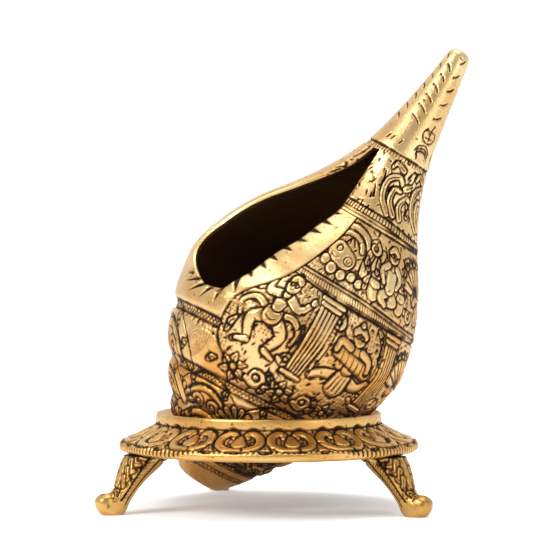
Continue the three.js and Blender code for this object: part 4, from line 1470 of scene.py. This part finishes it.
class ChankFinish(bpy.types.PropertyGroup):
    """Colours of the brass."""

    bright: bpy.props.FloatVectorProperty(
        name="Rubbed brass", description="Colour of the high, rubbed places", subtype="COLOR_GAMMA",
        size=3, default=as_colour(SHELL_BRIGHT), min=0, max=1)
    # On the shell the warm colour also paints the shade of its lower parts.
    warm: bpy.props.FloatVectorProperty(
        name="Warm brass", description="Colour of the clouds of warmer metal", subtype="COLOR_GAMMA",
        size=3, default=as_colour(SHELL_WARM), min=0, max=1)
    shade: bpy.props.FloatVectorProperty(
        name="Patina", description="Colour of the patina in the cuts", subtype="COLOR_GAMMA",
        size=3, default=as_colour(PATINA), min=0, max=1)


class CHANK_OT_shell(bpy.types.Operator):
    """Make the carved shell and its dark inside"""

    bl_idname = "chank.shell"
    bl_label = "Carved shell"

    def execute(self, context):
        sizes, finish = context.scene.chank_sizes, context.scene.chank_finish
        bright, warm = chosen(finish.bright), chosen(finish.warm)
        # The shell's brass is mixed towards the warm colour low down, as painted shade.
        brass = cast_brass("cast_brass_rubbed_with_painted_low_shade", bright, warm, chosen(finish.shade), painted_low_shade=0.6)
        inner = cast_brass("cast_brass_unpolished", bright, warm, INSIDE_PATINA)
        for piece in make_shell_outside(shell_carving(), sizes.face_spacing, sizes.face_columns):
            dress(piece, "shell", brass)
        dress(make_shell_inside(), "shell", inner)
        return {"FINISHED"}


class CHANK_OT_ring(bpy.types.Operator):
    """Make the ring of the stand"""

    bl_idname = "chank.ring"
    bl_label = "Stand ring"

    def execute(self, context):
        shade = chosen(context.scene.chank_finish.shade)
        brass = cast_brass("cast_brass_stand", STAND_BRIGHT, STAND_WARM, shade)
        dress(make_ring(), "stand_ring", brass)
        return {"FINISHED"}


class CHANK_OT_legs(bpy.types.Operator):
    """Make the three legs of the stand"""

    bl_idname = "chank.legs"
    bl_label = "Stand legs"

    def execute(self, context):
        shade = chosen(context.scene.chank_finish.shade)
        brass = cast_brass("cast_brass_legs", LEG_BRIGHT, LEG_WARM, shade)
        stations = np.array(LEG_STATIONS, float)
        rough = np.arange(len(stations))
        fine = np.linspace(0, len(stations) - 1, 90)
        path = np.stack([curve_through(list(zip(rough, stations[:, k])))(fine) for k in range(4)], 1)
        lengths = running_length(path[:, 0], path[:, 1])
        carving = leg_carving(lengths[-1])
        for name, bearing in LEG_BEARINGS.items():
            dress(make_leg(name, bearing, carving, path, lengths), name, brass)
        return {"FINISHED"}


# The camera, in metres and degrees, and its lens in mm.
CAMERA_DISTANCE = 1.053
CAMERA_HEIGHT = 0.117
CAMERA_SIDE = 0.0049
CAMERA_PITCH = radians(0.96)
FOCAL_LENGTH = 154.3
SENSOR_WIDTH = 36
# Soft lamps: place from the middle of the object and size in metres, and power in watts.
LAMPS = {
    "key": ((-0.8, -0.75, 0.75), 0.6, 12.0),
    "fill": ((0.9, -0.8, 0.35), 0.6, 2.5),
    "top": ((0.1, 0.1, 1.2), 0.8, 6.0),
}
LAMP_TARGET_HEIGHT = 0.1
FLOOR_REACH = 3.0
FLOOR_COLOUR = 0xFCFCFC
FLOOR_GLOW = 0.22
ROOM_BEHIND_CAMERA = 0.5
ROOM_BEHIND_SHELL = 1.05


def make_floor():
    """A sheet of matt white paper that glows a little, so that it stays white under the shadow's edge."""
    mesh = bpy.data.meshes.new("studio_floor")
    corners = [(FLOOR_REACH * x, FLOOR_REACH * y, 0) for x, y in ((-1, -1), (1, -1), (1, 1), (-1, 1))]
    mesh.from_pydata(corners, [], [(0, 1, 2, 3)])
    paper = bpy.data.materials.new("matt_white_paper")
    paper.use_nodes = True
    shader = paper.node_tree.nodes["Principled BSDF"]
    shader.inputs["Base Color"].default_value = linear(FLOOR_COLOUR)
    shader.inputs["Roughness"].default_value = 0.9
    shader.inputs["Emission Color"].default_value = (1, 1, 1, 1)
    shader.inputs["Emission Strength"].default_value = FLOOR_GLOW
    mesh.materials.append(paper)
    floor = bpy.data.objects.new("studio_floor", mesh)
    bpy.context.scene.collection.objects.link(floor)
    return floor


def make_room():
    """White behind the shell and greyer behind the camera, so that the brass has something to reflect."""
    room = bpy.data.worlds.new("pale_room")
    room.use_nodes = True
    tree = room.node_tree
    around_us = add_node(tree, "ShaderNodeTexCoord").outputs["Generated"]
    parts = add_node(tree, "ShaderNodeSeparateXYZ", {}, {"Vector": around_us}).outputs
    wall = add_node(tree, "ShaderNodeMapRange",
                    {"From Min": -0.6, "From Max": 0.7, "To Min": ROOM_BEHIND_CAMERA,
                     "To Max": ROOM_BEHIND_SHELL}, {"Value": parts["Y"]}).outputs["Result"]
    background = tree.nodes["Background"]
    tree.links.new(wall, background.inputs["Strength"])
    background.inputs["Color"].default_value = (1, 1, 1, 1)
    return room


class CHANK_OT_studio(bpy.types.Operator):
    """Make the floor, the lights and the camera"""

    bl_idname = "chank.studio"
    bl_label = "Studio"

    def execute(self, context):
        scene = context.scene
        cx, cy = (v * MM for v in stand_centre())
        make_floor()
        target = Vector((cx, cy, LAMP_TARGET_HEIGHT))
        for name, (place, size, power) in LAMPS.items():
            lamp = bpy.data.lights.new(name, "AREA")
            lamp.energy = power
            lamp.size = size
            light = bpy.data.objects.new(name, lamp)
            light.location = target + Vector(place)
            light.rotation_euler = (target - light.location).to_track_quat("-Z", "Y").to_euler()
            scene.collection.objects.link(light)
        scene.world = make_room()
        scene.view_settings.view_transform = "Standard"

        camera = bpy.data.objects.new("camera", bpy.data.cameras.new("camera"))
        camera.data.lens = FOCAL_LENGTH
        camera.data.sensor_width = SENSOR_WIDTH
        camera.location = (cx + CAMERA_SIDE, cy - CAMERA_DISTANCE, CAMERA_HEIGHT)
        camera.rotation_euler = (math.pi / 2 - CAMERA_PITCH, 0, 0)
        scene.collection.objects.link(camera)
        scene.camera = camera
        return {"FINISHED"}


class CHANK_PT_panel(bpy.types.Panel):
    """Lists the pieces of the chank shell and its stand"""

    bl_idname = "CHANK_PT_panel"
    bl_label = "Chank shell"
    bl_space_type = "VIEW_3D"
    bl_region_type = "UI"
    bl_category = "Chank"

    def draw(self, context):
        for group in GROUPS:
            holder = getattr(context.scene, group)
            for key in holder.__annotations__:
                self.layout.prop(holder, key)
        for operator in OPERATORS:
            self.layout.operator(operator.bl_idname)


GROUPS = {"chank_sizes": ChankSizes, "chank_finish": ChankFinish}
OPERATORS = [CHANK_OT_shell, CHANK_OT_ring, CHANK_OT_legs, CHANK_OT_studio]
CLASSES = [*GROUPS.values(), *OPERATORS, CHANK_PT_panel]


def register():
    for one in CLASSES:
        bpy.utils.register_class(one)
    for key, group in GROUPS.items():
        setattr(bpy.types.Scene, key, bpy.props.PointerProperty(type=group))


def unregister():
    for key in GROUPS:
        delattr(bpy.types.Scene, key)
    for one in reversed(CLASSES):
        bpy.utils.unregister_class(one)


def main():
    register()
    bpy.ops.chank.shell()
    bpy.ops.chank.ring()
    bpy.ops.chank.legs()
    bpy.ops.chank.studio()


if __name__ == "__main__":
    main()
